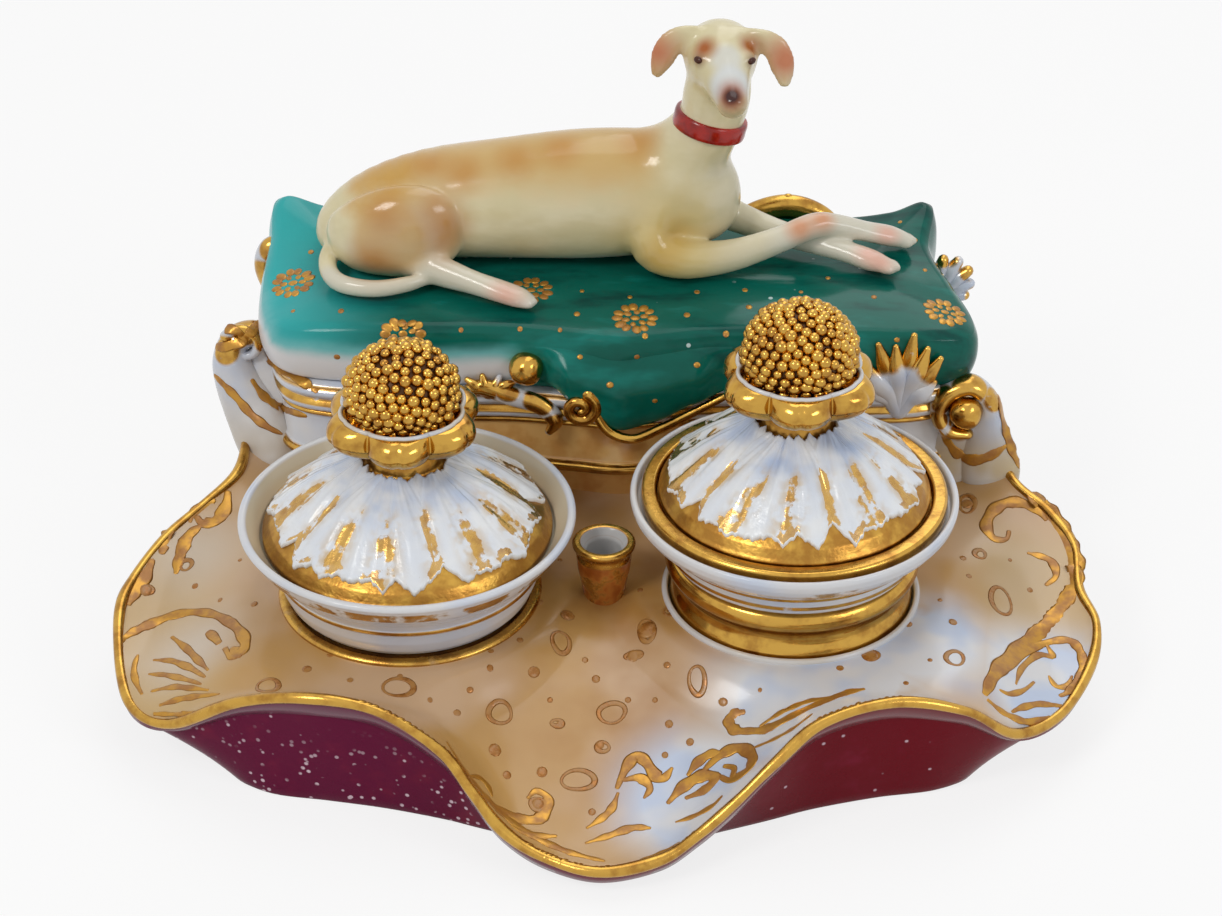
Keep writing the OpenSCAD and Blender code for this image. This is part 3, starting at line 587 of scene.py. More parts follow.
class InkstandColours(bpy.types.PropertyGroup):
    gilt: colour("Gilding", "Burnished gilding", 0.56, 0.325, 0.065)
    gilt_dark: colour("Worn gilding", "Gilding where it is thin", 0.36, 0.175, 0.035)
    cloth: colour("Cushion", "Green ground of the cushion", 0.002, 0.118, 0.088)
    wall_left: colour("Wall, left", "Purple of the wall's left part", 0.125, 0.005, 0.036)
    wall_right: colour("Wall, right", "Crimson of the wall's right part", 0.15, 0.002, 0.009)
    coat: colour("Dog", "Cream ground of the dog's coat", 0.68, 0.6, 0.36)
    collar: colour("Collar", "Red of the dog's collar", 0.42, 0.014, 0.006)


def sizes():
    return bpy.context.scene.inkstand_sizes


def chosen(name):
    """A colour that the user may change, as a material's colour."""
    return (*getattr(bpy.context.scene.inkstand_colours, name), 1.0)


def upright(x, y, axis):
    """Distance from an upright axis, in millimetres."""
    return ((x - float(axis[0])) ** 2.0 + (y - float(axis[1])) ** 2.0) ** 0.5


def band(v, a, b, edge=0.35):
    """1 between a and b, with an edge that many millimetres soft."""
    return v.ramp(a - edge, a + edge) * v.ramp(b + edge, b - edge)


def highest(masks):
    out = masks[0]
    for m in masks[1:]:
        out = out.high(m)
    return out


def patches(p, rows):
    """The highest of several soft round patches, each given as x, y, z, reach and share."""
    return highest([p.near(x, y, z, reach) * share for x, y, z, reach, share in rows])


MADE = {}


def made_once(name, maker):
    """A material or node tree made once and kept under its name."""
    if name not in MADE:
        MADE[name] = maker()
    return MADE[name]


# Tray

TRAY_N = 480
LEFT_HOLE_R, RIGHT_HOLE_R = 29.4, 30.4
LEFT_RING, RIGHT_RING = 3.2, 1.6
CUP_HOLE_R = 4.6
RING_BITE = 0.4  # how far the sockets' rings stand into the tray
DISH_TURNS_UP = (0.022, 0.2)
SIDE_SPAN = (-60.0, 50.0)  # where the wall turns from purple to crimson

# Patches of the tray's ground: x, y, z, reach and share
# tan wash and painted shade between the pots, down the middle to the front and in front of the plinth
TAN_AND_SHADE_PATCHES = ((0, -14, 28, 38.0, 1.0), (0, -48, 12, 44.0, 0.85), (-10, 18, 28, 30.0, 0.6))
# white glaze at the right, and in front of the right pot a painted highlight
RIGHT_WHITE_AND_HIGHLIGHT_PATCHES = ((52, -56, 26, 40.0, 1.0), (24, -74, 12, 30.0, 0.9), (108, -38, 18, 30.0, 1.0),
                       (76, -34, 24, 30.0, 0.8))
LEFT_WHITE_PATCHES = ((-100, -30, 18, 24.0, 1.0), (-106, 6, 24, 22.0, 0.8))


def tray_ground():
    """Peach ground, tan with painted shade between the pots, running to white and cool grey at the right, with a
    painted highlight in front of the right pot.
    """
    p = glaze("peach_ground")
    x, y, _ = p.xyz()
    soft = p.noise(22.0, 3.0, 0.55)
    sway = (soft - 0.5) * 16.0
    peach = p.blend(PEACH, PINK, p.noise(35.0, 2.0).ramp(0.42, 0.62))
    # tan wash and painted shade between the pots
    col = p.blend(peach, TAN, patches(p, TAN_AND_SHADE_PATCHES) * soft.ramp(0.3, 0.75))
    lobe = (abs(x) + sway).ramp(84.0, 104.0) * (y + sway).ramp(26.0, 6.0)
    col = p.blend(col, CREAM, lobe * 0.5)
    # white glaze at the right, with a painted highlight in front of the right pot
    right = (patches(p, RIGHT_WHITE_AND_HIGHLIGHT_PATCHES) * 2.1 * soft.ramp(0.12, 0.42)).held()
    col = p.blend(col, p.blend(WHITE, COOL, p.noise(18.0).ramp(0.4, 0.6)), right)
    col = p.blend(col, WHITE, patches(p, LEFT_WHITE_PATCHES) * 0.45)
    side = p.blend(chosen("wall_left"), chosen("wall_right"), x.ramp(*SIDE_SPAN))
    p.put("Base Color", p.blend(col, side, p.value("side")))
    p.put("Roughness", 0.16 + p.noise(14.0, 2.0) * 0.1)
    p.relief(p.noise(13.0, 1.5), 0.18)
    return p.mat


def wall_ground():
    """Purple at the left to crimson at the right, with pin-prick white specks low down."""
    p = glaze("purple_ground", Coat_Weight=0.0, Specular_IOR_Level=0.07)
    x, _, z = p.xyz()
    wash = p.noise(9.0, 4.0, 0.6)
    col = p.blend(chosen("wall_left"), chosen("wall_right"), (x + (wash - 0.5) * 60.0).ramp(*SIDE_SPAN))
    col = p.blend(col, ink(132, 34, 60), wash.ramp(0.5, 0.8) * 0.5)
    low_left = z.ramp(26.0, 6.0) * x.ramp(20.0, -40.0)
    many = p.cells(2.2).ramp(0.3, 0.16) * p.noise(6.0, 1.0).ramp(0.42, 0.55) * low_left * 1.4
    few = p.cells(6.0).ramp(0.1, 0.05)
    col = p.blend(col, ink(214, 190, 200), (many.high(few) * 0.8).held())
    p.put("Base Color", col)
    p.put("Roughness", 0.2 + wash * 0.16)
    p.relief(p.noise(6.0, 2.0), 0.12)
    return p.mat


def cut_round(ob, axis, r, low, high):
    """Cuts a round upright hole out of a piece."""
    bm = bmesh.new()
    bmesh.ops.create_cone(bm, cap_ends=True, cap_tris=False, segments=128, radius1=r * MM, radius2=r * MM,
                          depth=(high - low) * MM)
    bmesh.ops.translate(bm, verts=bm.verts, vec=(axis[0] * MM, axis[1] * MM, (low + high) / 2 * MM))
    mesh = bpy.data.meshes.new("cutter")
    bm.to_mesh(mesh)
    bm.free()
    tool = linked("cutter", mesh)
    m = ob.modifiers.new("hole", "BOOLEAN")
    m.operation, m.solver, m.object = "DIFFERENCE", "EXACT", tool
    return tool


def baked(ob):
    """The object's mesh with its modifiers applied; the object itself is removed."""
    dg = bpy.context.evaluated_depsgraph_get()
    mesh = bpy.data.meshes.new_from_object(ob.evaluated_get(dg))
    bpy.data.objects.remove(ob)
    return mesh


def tray_top():
    rim = loop_points(RIM, TRAY_N)
    mid = rim[:, :2] - TRAY_MID
    inward = -unit(mid)
    us = np.concatenate([np.linspace(*DISH_TURNS_UP, 16), np.linspace(0.215, 0.97, 44)])
    lows = [dish_ring(rim, u) - [0, 0, DISH_T] for u in (0.97, 0.6, 0.3, 0.16, 0.09, 0.045, 0.022)]
    edge = []
    for step, drop in ((0.35, 3.0), (0.05, 1.9), (0.1, 1.0), (0.7, 0.3), (1.6, 0.2)):
        edge.append(np.column_stack([rim[:, :2] + step * inward, rim[:, 2] - drop]))
    tops = [dish_ring(rim, u) for u in us]
    verts, faces = stack(lows + edge + tops)
    mesh = bpy.data.meshes.new("tray_blank")
    mesh.from_pydata((verts * MM).tolist(), [], faces)
    blank = linked("tray_blank", mesh)
    holes = ((LEFT_AXIS, LEFT_HOLE_R + LEFT_RING - RING_BITE), (RIGHT_AXIS, RIGHT_HOLE_R + RIGHT_RING - RING_BITE),
             (CUP_AXIS, CUP_HOLE_R))
    tools = [cut_round(blank, axis, r, -1, 60) for axis, r in holes]
    mesh = baked(blank)
    for t in tools:
        bpy.data.objects.remove(t)
    mesh.materials.clear()
    mesh.materials.append(made_once("tray", tray_ground))
    mesh.polygons.foreach_set("material_index", np.zeros(len(mesh.polygons), np.int32))
    smooth(mesh, 50)
    up = np.array([v.vector[2] for v in mesh.vertex_normals])
    steep = smoothstep((0.3 - up) / 0.3).astype(np.float32)
    mesh.attributes.new("side", "FLOAT", "POINT").data.foreach_set("value", steep)
    return settle("tray_top", mesh, "base", ["tray_dish"])


def wall_share(rim):
    r = np.linalg.norm(rim[:, :2] - TRAY_MID, axis=1)
    return (2.4 + 12.8 * bell(rim[:, 0], 26) * (rim[:, 1] < -50)) / r, r


def body_wall():
    rim = loop_points(RIM, TRAY_N)
    foot = loop_points(FOOT, TRAY_N)
    share, r = wall_share(rim)
    under = DISH_T - 0.6
    top_out = dish_ring(rim, share) - [0, 0, under]
    top_in = dish_ring(rim, share + WALL_T / r) - [0, 0, under]
    mid = foot - TRAY_MID
    inner = foot - WALL_T * unit(mid)
    rings = [np.column_stack([inner, np.zeros(TRAY_N)]), np.column_stack([inner, np.full(TRAY_N, 3.0)]), top_in]
    low = np.column_stack([foot, np.zeros(TRAY_N)])
    rings += [top_out + (low - top_out) * t for t in np.linspace(0, 0.97, 14)]
    base = np.column_stack([foot - 0.5 * unit(mid), np.zeros(TRAY_N)])
    verts, faces = torus_like(rings + [base])
    piece("body_wall", verts, faces, made_once("wall", wall_ground), "base", ["tray_skirt"], "purple_ground",
          sharp=50)


# Node trees for what repeats or follows a path


class Recipe(Nodes):
    """Builds one Geometry Nodes tree with named inputs."""

    def __init__(self, name, *inputs):
        super().__init__(bpy.data.node_groups.new(name, "GeometryNodeTree"))
        face = self.tree.interface
        face.new_socket(name="Geometry", in_out="INPUT", socket_type="NodeSocketGeometry")
        self.names = {}
        for label, kind, default in inputs:
            s = face.new_socket(name=label, in_out="INPUT", socket_type=kind)
            if default is not None:
                s.default_value = default
            self.names[label] = s.identifier
        face.new_socket(name="Geometry", in_out="OUTPUT", socket_type="NodeSocketGeometry")
        self.start = self.tree.nodes.new("NodeGroupInput")
        self.end = self.tree.nodes.new("NodeGroupOutput")

    def given(self, label):
        return self.start.outputs[label]

    def finish(self, geometry):
        real = self.node("GeometryNodeRealizeInstances", None, {0: geometry})
        painted = self.node("GeometryNodeSetMaterial", None, {"Geometry": real.outputs[0],
                                                              "Material": self.given("Material")})
        self.tree.links.new(painted.outputs[0], self.end.inputs[0])
        return self

    def run(self, name, mesh, **values):
        """Runs the tree on a mesh and returns the plain mesh that comes out."""
        ob = linked(name, mesh)
        m = ob.modifiers.new("recipe", "NODES")
        m.node_group = self.tree
        for label, value in values.items():
            m[self.names[label.replace("_", " ")]] = value
        out = baked(ob)
        smooth(out)
        return out


def scatter_recipe():
    """A small round body on every point, laid along the point's facing and sized by its size."""
    r = Recipe("scatter", ("Radius", "NodeSocketFloat", 0.001), ("Flatness", "NodeSocketFloat", 1.0),
               ("Length", "NodeSocketFloat", 1.0), ("Jitter", "NodeSocketFloat", 0.0), ("Seed", "NodeSocketInt", 3),
               ("Detail", "NodeSocketInt", 1), ("Material", "NodeSocketMaterial", None))
    ball = r.node("GeometryNodeMeshIcoSphere", None, {"Radius": r.given("Radius"), "Subdivisions": r.given("Detail")})
    squash = r.node("ShaderNodeCombineXYZ", None, {0: 1.0, 1: r.given("Length"), 2: r.given("Flatness")})
    body = r.node("GeometryNodeTransform", None, {"Geometry": ball.outputs[0], "Scale": squash.outputs[0]})
    facing = r.node("GeometryNodeInputNamedAttribute", {"data_type": "FLOAT_VECTOR"}, {"Name": "facing"})
    along = r.node("GeometryNodeInputNamedAttribute", {"data_type": "FLOAT_VECTOR"}, {"Name": "along"})
    size = r.node("GeometryNodeInputNamedAttribute", {"data_type": "FLOAT"}, {"Name": "size"})
    low = r.node("ShaderNodeMath", {"operation": "SUBTRACT"}, {0: 1.0, 1: r.given("Jitter")})
    high = r.node("ShaderNodeMath", {"operation": "ADD"}, {0: 1.0, 1: r.given("Jitter")})
    chance = r.node("FunctionNodeRandomValue", {"data_type": "FLOAT"},
                    {2: low.outputs[0], 3: high.outputs[0], "Seed": r.given("Seed")})
    grow = r.node("ShaderNodeMath", {"operation": "MULTIPLY"}, {0: size.outputs[0], 1: chance.outputs[1]})
    turn = r.node("FunctionNodeAxesToRotation", {"primary_axis": "Z", "secondary_axis": "Y"},
                  {0: facing.outputs[0], 1: along.outputs[0]})
    placed = r.node("GeometryNodeInstanceOnPoints", None,
                    {"Points": r.given("Geometry"), "Instance": body.outputs[0], "Rotation": turn.outputs[0],
                     "Scale": grow.outputs[0]})
    return r.finish(placed.outputs[0])


def bead_recipe():
    """A round bead that follows the edges it is given, as thick as their size says."""
    r = Recipe("bead", ("Radius", "NodeSocketFloat", 0.001), ("Sides", "NodeSocketInt", 10),
               ("Material", "NodeSocketMaterial", None))
    line = r.node("GeometryNodeMeshToCurve", None, {0: r.given("Geometry")})
    size = r.node("GeometryNodeInputNamedAttribute", {"data_type": "FLOAT"}, {"Name": "size"})
    thick = r.node("GeometryNodeSetCurveRadius", None, {"Curve": line.outputs[0], "Radius": size.outputs[0]})
    ring = r.node("GeometryNodeCurvePrimitiveCircle", None,
                  {"Resolution": r.given("Sides"), "Radius": r.given("Radius")})
    swept = r.node("GeometryNodeCurveToMesh", None, {"Curve": thick.outputs[0], "Profile Curve": ring.outputs[0],
                                                     "Fill Caps": True})
    if "Scale" in swept.inputs:
        r.tree.links.new(size.outputs[0], swept.inputs["Scale"])
    return r.finish(swept.outputs[0])


def point_mesh(name, points, edges=(), **data):
    """Points in millimetres with the attributes that the recipes read."""
    mesh = bpy.data.meshes.new(name)
    mesh.from_pydata((np.asarray(points, float) * MM).tolist(), [list(e) for e in edges], [])
    for key, value in data.items():
        value = np.asarray(value, np.float32)
        kind = "FLOAT_VECTOR" if value.ndim == 2 else "FLOAT"
        layer = mesh.attributes.new(key, kind, "POINT")
        layer.data.foreach_set("vector" if value.ndim == 2 else "value", value.ravel())
    return mesh


def across(normals):
    """For each direction, some direction square to it."""
    other = np.where(np.abs(normals[:, 2:3]) > 0.8, np.array([[1.0, 0, 0]]), np.array([[0, 0, 1.0]]))
    return unit(np.cross(normals, other))


def scattered(name, mesh, **settings):
    """Small round bodies on the points of a mesh."""
    return made_once("scatter", scatter_recipe).run(name, mesh, Detail=2, **settings)


def rim_bead():
    """Gilt bead on the tray's rim, with a twisted rope of small bumps along the ridges of its lobes."""
    rim = loop_points(RIM, TRAY_N)
    mid = rim[:, :2] - TRAY_MID
    inward = -unit(mid)
    r = sizes().rim_bead / MM
    line = np.column_stack([rim[:, :2] + 0.8 * r * inward, rim[:, 2] - r + 0.35])
    k = np.arange(TRAY_N)
    size = 1 + 0.16 * np.sin(k * 0.21) * np.sin(k * 0.083 + 1)
    mesh = point_mesh("rim_line", line, [(i, (i + 1) % TRAY_N) for i in range(TRAY_N)], size=size)
    out = made_once("bead", bead_recipe).run("rim_line", mesh, Radius=sizes().rim_bead, Sides=10,
                                          Material=made_once("gilt", gilt_material))
    settle("rim_bead", out, "base")
    fine = loop_points(RIM, 900)
    x, y = fine[:, 0], fine[:, 1]
    rope = ((x < -28) & (x > -86) & (y < -55)) | ((np.abs(x) < 22) & (y < -80)) | ((x > 46) & (x < 78) & (y < -55))
    t = unit(np.roll(fine, -1, 0) - np.roll(fine, 1, 0))
    inn = -unit(fine[:, :2] - TRAY_MID)
    pts = np.column_stack([fine[:, :2] + r * inn, fine[:, 2] - r + 0.55])
    slant = t + 0.9 * np.column_stack([inn, np.zeros(900)])
    slant = unit(slant)
    up = np.cross(t, np.column_stack([inn, np.zeros(900)]))
    up = unit(up)
    up[up[:, 2] < 0] *= -1
    pick = rope & (np.arange(900) % 2 == 0)
    mesh = point_mesh("rope_points", pts[pick], facing=up[pick], along=slant[pick], size=np.ones(pick.sum()))
    out = scattered("rope_points", mesh, Radius=0.95 * MM, Flatness=1.1, Length=1.75, Jitter=0.12, Seed=5,
                    Material=made_once("gilt", gilt_material))
    settle("rim_rope", out, "base")


# Pots, liner, sockets and cup


def pot_white(p):
    return p.blend(WHITE, COOL, p.noise(24.0, 2.0).ramp(0.45, 0.7) * 0.7)


def gild_pot(p, base, share):
    fine = gold_into(p, base, share.held(), 0.22)
    p.relief(p.noise(12.0, 1.0) + fine * 0.1, 0.1)
    return p.mat


def left_pot_paint():
    """White with worn gilt lines outside, and a stained inside."""
    p = glaze("left_pot_glaze")
    x, y, z = p.xyz()
    up = z - TRAY_Z
    well = (up * 0.8 + 22.9).high(up * 0.28 + 27.4)  # radius of the pot's well at each height
    inside = (well - upright(x, y, LEFT_AXIS)).ramp(0.0, 0.5) * up.ramp(23.1, 22.5)
    base = p.blend(pot_white(p), ink(206, 196, 168), inside * 0.85)
    worn = p.noise(9.0, 3.0, 0.6)
    wide = band(up, 17.2, 20.6) * worn.ramp(0.44, 0.56)
    line = band(up, 9.3, 10.3, 0.2) * worn.ramp(0.3, 0.42)
    low = band(up, -2.0, 1.6) * 0.9
    return gild_pot(p, base, highest([wide, line, low]) * (1.0 - inside))


def right_pot_paint():
    """White with two gilt lines and a worn gilt band below the rim."""
    p = glaze("right_pot_glaze")
    up = p.xyz()[2] - TRAY_Z
    worn = p.noise(8.0, 3.0, 0.6)
    lines = highest([band(up, 18.9, 20.1, 0.2), band(up, 15.3, 16.6, 0.2),
                     band(up, 21.6, 25.6, 0.5) * worn.ramp(0.5, 0.66)])
    return gild_pot(p, pot_white(p), lines * worn.ramp(0.25, 0.36))


def cup_paint():
    p = glaze("cup_glaze")
    x, y, z = p.xyz()
    r = upright(x, y, CUP_AXIS)
    inside = (r.ramp(6.1, 5.7) * z.ramp(39.0, 40.5)).high(r.ramp(5.0, 4.6))
    wash = p.noise(5.0, 3.0)
    base = p.blend(ink(156, 82, 26), ink(196, 126, 52), wash.ramp(0.35, 0.65))
    base = p.blend(base, ink(196, 196, 196), inside)
    gold = z.ramp(37.4, 38.2) * (1.0 - inside)
    gold = gold.high(wash.ramp(0.5, 0.62) * (1.0 - inside) * 0.8)
    gold_into(p, base, gold, 0.25)
    p.relief(wash, 0.15)
    return p.mat


def socket_paint():
    p = glaze("socket_glaze")
    x, y, z = p.xyz()
    r = upright(x, y, LEFT_AXIS)
    worn = p.noise(7.0, 3.0)
    ring = band(r, LEFT_HOLE_R + 0.4, LEFT_HOLE_R + 3.4, 0.3) * z.ramp(26.0, 27.0) * worn.ramp(0.28, 0.42)
    fine = gold_into(p, p.blend(ink(190, 150, 96), ink(120, 84, 50), worn), ring, 0.25)
    p.relief(fine, 0.05)
    return p.mat


def turned(name, profile, axis, material, body, node, slot, base_z=TRAY_Z, n=192):
    """A piece turned round an upright axis from a (radius, height) profile."""
    piece(name, *lathe(profile, axis, base_z, n), material, body, [node], slot, sharp=60)


def left_pot():
    h, rim, waist = 23.4, 41.3, 32.8
    seat, seat_r = h - 6, LEFT_LID_R + 0.6
    turned("left_pot_body", [
        [0, -5.7], [27.9, -5.7], [28.9, -4.7], [28.9, 1], [waist - 2.2, 3], [waist - 1, 6], [waist - 0.5, 8.8],
        [waist, 9.3], [waist, 10.1], [waist - 0.2, 10.6], [waist + 0.8, 12.6], [waist + 2.8, 14.8],
        [waist + 5.4, 17.2], [waist + 6.8, 19.4], [rim - 0.7, h - 2.2], [rim, h - 1.2], [rim - 0.2, h - 0.4],
        [rim - 0.9, h], [rim - 1.8, h - 0.2], [rim - 2.4, h - 1], [seat_r, seat + 1.5], [seat_r, seat],
        [seat_r - 3.4, seat], [waist - 3.3, 12], [waist - 6.3, 2], [22, -1], [0, -1.5]],
        LEFT_AXIS, made_once("left_pot", left_pot_paint), "left_pot", "left_pot", "white_glaze")


def right_pot():
    """Right pot, its gilt foot and the ink well that hangs in it by its flange."""
    h, rim, bowl, foot = 29.2, 40.0, 33.0, 29.9
    ledge, low = h - 3, 6.5
    turned("right_pot_body", [
        [0, low - 5], [22, low - 5], [foot - 2.4, low - 1], [foot - 2.4, low], [foot - 1.1, low],
        [foot - 0.7, 13.4], [bowl - 2.4, 14], [bowl - 2, 15.2], [bowl - 1.4, 15.6], [bowl - 1.4, 16.4],
        [bowl - 0.8, 18.6], [bowl, 19], [bowl, 19.8], [bowl + 2.4, h - 7.7], [rim - 1.8, h - 5],
        [rim - 0.3, h - 2.8], [rim, h - 1.2], [rim - 0.3, h - 0.3], [rim - 0.9, h], [rim - 1.5, h - 0.3],
        [rim - 1.8, h - 1], [rim - 1.8, ledge], [bowl, ledge], [bowl - 1.6, 20], [bowl - 4, 12],
        [bowl - 7, low - 0.5], [0, low - 2]],
        RIGHT_AXIS, made_once("right_pot", right_pot_paint), "right_pot", "right_pot", "white_glaze")
    turned("right_pot_foot", [
        [0, -2.7], [foot - 0.6, -2.7], [foot, -1.9], [foot, 1], [foot - 0.4, 2], [foot - 1.2, 3.6],
        [foot - 1.5, 5], [foot - 1.1, 6.6], [foot - 0.1, 7.8], [foot + 0.9, 8.6], [foot + 1.5, 10],
        [foot + 1.3, 11.6], [foot + 0.5, 12.8], [foot - 0.7, 13.4], [foot - 1.1, low], [foot - 2.4, low],
        [foot - 2.4, low - 1], [22, low - 5], [0, low - 5]],
        RIGHT_AXIS, gilding("gilt_foot", 0.17, 0.03), "right_pot", "right_foot", "gilt")
    well, lip, ring = bowl - 4.4, 37.2, 33.6
    turned("right_ink_well", [
        [0, 8], [well - 6, 8], [well - 2.5, 10], [well - 1, 14], [well, ledge + 0.3], [lip, ledge + 0.3],
        [lip, h + 0.3], [lip - 0.6, h + 0.9], [ring + 0.5, h + 0.9], [ring, h + 0.4], [ring, h - 1.2],
        [well - 1.9, h - 1.2], [well - 2.5, h - 1.8], [well - 3.5, 15], [well - 8, 10.5], [0, 10.5]],
        RIGHT_AXIS, made_once("gilt", gilt_material), "right_liner", "right_liner", "gilt")


def quill_cup():
    top, hole = 42.0, 4.2
    turned("quill_cup_body", [
        [0, 21], [5.2, 21], [5.2, 27], [5.6, 29.5], [6.5, 34], [6.9, top - 4], [6.8, top - 2.6], [7.8, top - 1.2],
        [7.8, top - 0.4], [7.3, top], [5.9, top], [5.2, top - 1], [hole, top - 2.5], [hole, 29], [0, 29]],
        CUP_AXIS, made_once("cup", cup_paint), "base", "quill_cup", "gilt", 0, 96)


def socket(name, node, axis, hole, width, sink, lip, material, slot):
    """Ring sunk in the tray, with the floor that a pot stands on."""
    crown = [[hole + share * width, lip - drop] for share, drop in ((0.8, 0.1), (0.6, 0), (0.3, 0), (0.1, 0.3))]
    turned(name, [[0, -sink - 3], [hole + width, -sink - 3], [hole + width, lip - 0.6], *crown, [hole, lip - 1],
                  [hole, -sink], [0, -sink]], axis, material, "base", node, slot, n=160)


def pots():
    left_pot()
    right_pot()
    quill_cup()
    socket("left_pot_socket", "left_socket", LEFT_AXIS, LEFT_HOLE_R, LEFT_RING, 6, 1.2,
           made_once("socket", socket_paint), "gilt")
    socket("right_pot_socket", "right_socket", RIGHT_AXIS, RIGHT_HOLE_R, RIGHT_RING, 3, 1.0,
           made_once("white", white_material), "white_glaze")


# Lids


def dome(q, r):
    """Height of a lid of radius r at a distance q from its axis."""
    t = np.clip(q / r, 0, 1)
    return 3 + (LID_H - 3) * (1 - t ** 1.25) * (1 - 0.12 * np.sin(np.pi * t))


def leaf_paint():
    """White leaf with broken ochre strokes in its hollows and a cool blue tint near the middle."""
    p = glaze("leaf_glaze")
    fine = p.noise(1.5, 3.0, 0.6)
    blotch = p.noise(4.6, 2.0, 0.6)
    tone = p.noise(9.0, 2.0)
    base = p.blend(ink(236, 238, 240), ink(184, 200, 228), (p.value("tint") * tone.ramp(0.25, 0.7)).held())
    base = p.blend(base, ink(204, 170, 108), (p.value("wash") * blotch.ramp(0.4, 0.6)).held())
    mask = (p.value("gild") + (blotch - 0.5) * 1.5 + (fine - 0.5) * 0.7).ramp(0.47, 0.62)
    gold_into(p, base, mask * 0.9, 0.27)
    p.relief(fine + tone, 0.14)
    return p.mat


# Turn from the middle of a leaf in degrees, and how far the edge draws back there in millimetres
LEAF_EDGE = ((-36, 4.8), (-27, 0.4), (-21, 2.4), (-14, 0.8), (-7, 1.9), (1, 0.2), (8, 1.7), (15, 0.8), (21, 2.3),
             (28, 0.3))


def ragged(rng, r):
    """Angles and reach of five leaves: long corner tips, short tips between notches, deep clefts."""
    turns, reach = [], []
    for k in range(5):
        mid = math.radians(36 + 72 * k) + rng.uniform(-0.07, 0.07)
        for i, (off, base) in enumerate(LEAF_EDGE):
            slack = 1.5 if i % 2 else 1.0
            turns.append(mid + math.radians(off + rng.uniform(-1.8, 1.8)))
            reach.append(r - 0.9 - max(0.0, base + rng.uniform(-0.6, slack)))
    order = np.argsort(turns)
    return np.array(turns)[order], np.array(reach)[order]


def leaf_rosette(name, node, axis, z0, r, body, seed):
    """Five ragged acanthus leaves in relief, whose ribs fan out from each leaf's own base."""
    rng = np.random.default_rng(seed)
    n = 960
    a = angles(n)
    reach = np.interp(a, *ragged(rng, r), period=2 * np.pi)
    reach = reach - 0.35 * np.abs(np.sin(41 * a + 0.7 * np.sin(5 * a + seed))) - 0.2 * np.abs(np.sin(67 * a + seed))
    own = np.degrees(a) // 72
    off = a - np.radians(36 + 72 * own)
    relief = sizes().leaf_relief / MM
    phase = rng.uniform(0, 6.28, 12)
    ts = np.concatenate([np.linspace(0.33, 0.9, 44), np.linspace(0.912, 1.0, 14)])
    tops, gild, tint, wash = [], [], [], []
    for t in ts:
        q = t * reach
        bend = off + 0.10 * np.sin(3 * t + phase[0] + own) * (1 - t)
        fan = np.arctan2(q * np.sin(bend), np.maximum(q * np.cos(bend) - 0.2 * r, 0.04 * r))
        rib = np.cos(10.5 * fan + 0.5 * np.sin(4 * t + own))
        folds = (np.sin(27 * fan + phase[1] + own + 2 * t) + 0.6 * np.sin(46 * fan + phase[2] - 7 * t)) / 1.7
        cup = np.cos(np.clip(2.5 * off, -1.5, 1.5)) ** 0.5
        h = (0.7 + 2.0 * cup * t + relief * 0.8 * rib * t ** 1.3 * cup + relief * 0.28 * folds * t
             + 2.2 * t * (1 - t) - 0.7 * bell(off, 0.03) * (1 - t * t))
        h = np.clip(h, 0.4, 4.4) * (1 - 0.62 * smoothstep((t - 0.6) / 0.4)) + 0.5
        tops.append(np.column_stack([q * np.cos(a), q * np.sin(a), dome(q, r) + h]))
        hollow = smoothstep((-rib + 0.5 * folds) / 0.9)
        outer = smoothstep((t - 0.5) / 0.2)
        patchy = 0.3 + 0.3 * np.sin(11 * a + phase[4]) + 0.25 * np.sin(23 * a + phase[5])
        edge = smoothstep((t - 0.93) / 0.04) * patchy
        cleft = smoothstep((np.abs(np.degrees(off)) - 31) / 4) * outer * 0.55
        gild.append(np.clip(0.62 * hollow * outer + edge + cleft, 0, 1))
        tint.append(smoothstep((0.8 - t) / 0.35) * cup + 0.25)
        wash.append(np.clip(0.8 * outer * (0.5 - 0.5 * rib), 0, 1))
    top = tops[-1]
    out = np.column_stack([np.cos(a), np.sin(a), np.zeros(n)])
    lip = [top + 0.28 * out - [0, 0, 0.35], top + 0.2 * out - [0, 0, 1.0]]
    q = reach - 0.25
    foot = np.column_stack([q * np.cos(a), q * np.sin(a), dome(q, r) - 0.7])
    inner = ts[0] * reach
    low = np.column_stack([inner * np.cos(a), inner * np.sin(a), dome(inner, r) - 0.7])
    verts, faces = torus_like([low] + tops + lip + [foot])
    zero = np.zeros(n)
    values = {
        "gild": np.concatenate([zero] + gild + [zero, zero, zero + 0.3]),
        "tint": np.concatenate([zero] + tint + [zero, zero, zero]),
        "wash": np.concatenate([zero] + wash + [zero, zero, zero]),
    }
    verts = verts + [axis[0], axis[1], z0]
    piece(name, verts, faces, made_once("leaf", leaf_paint), body, [node], "white_glaze", values)


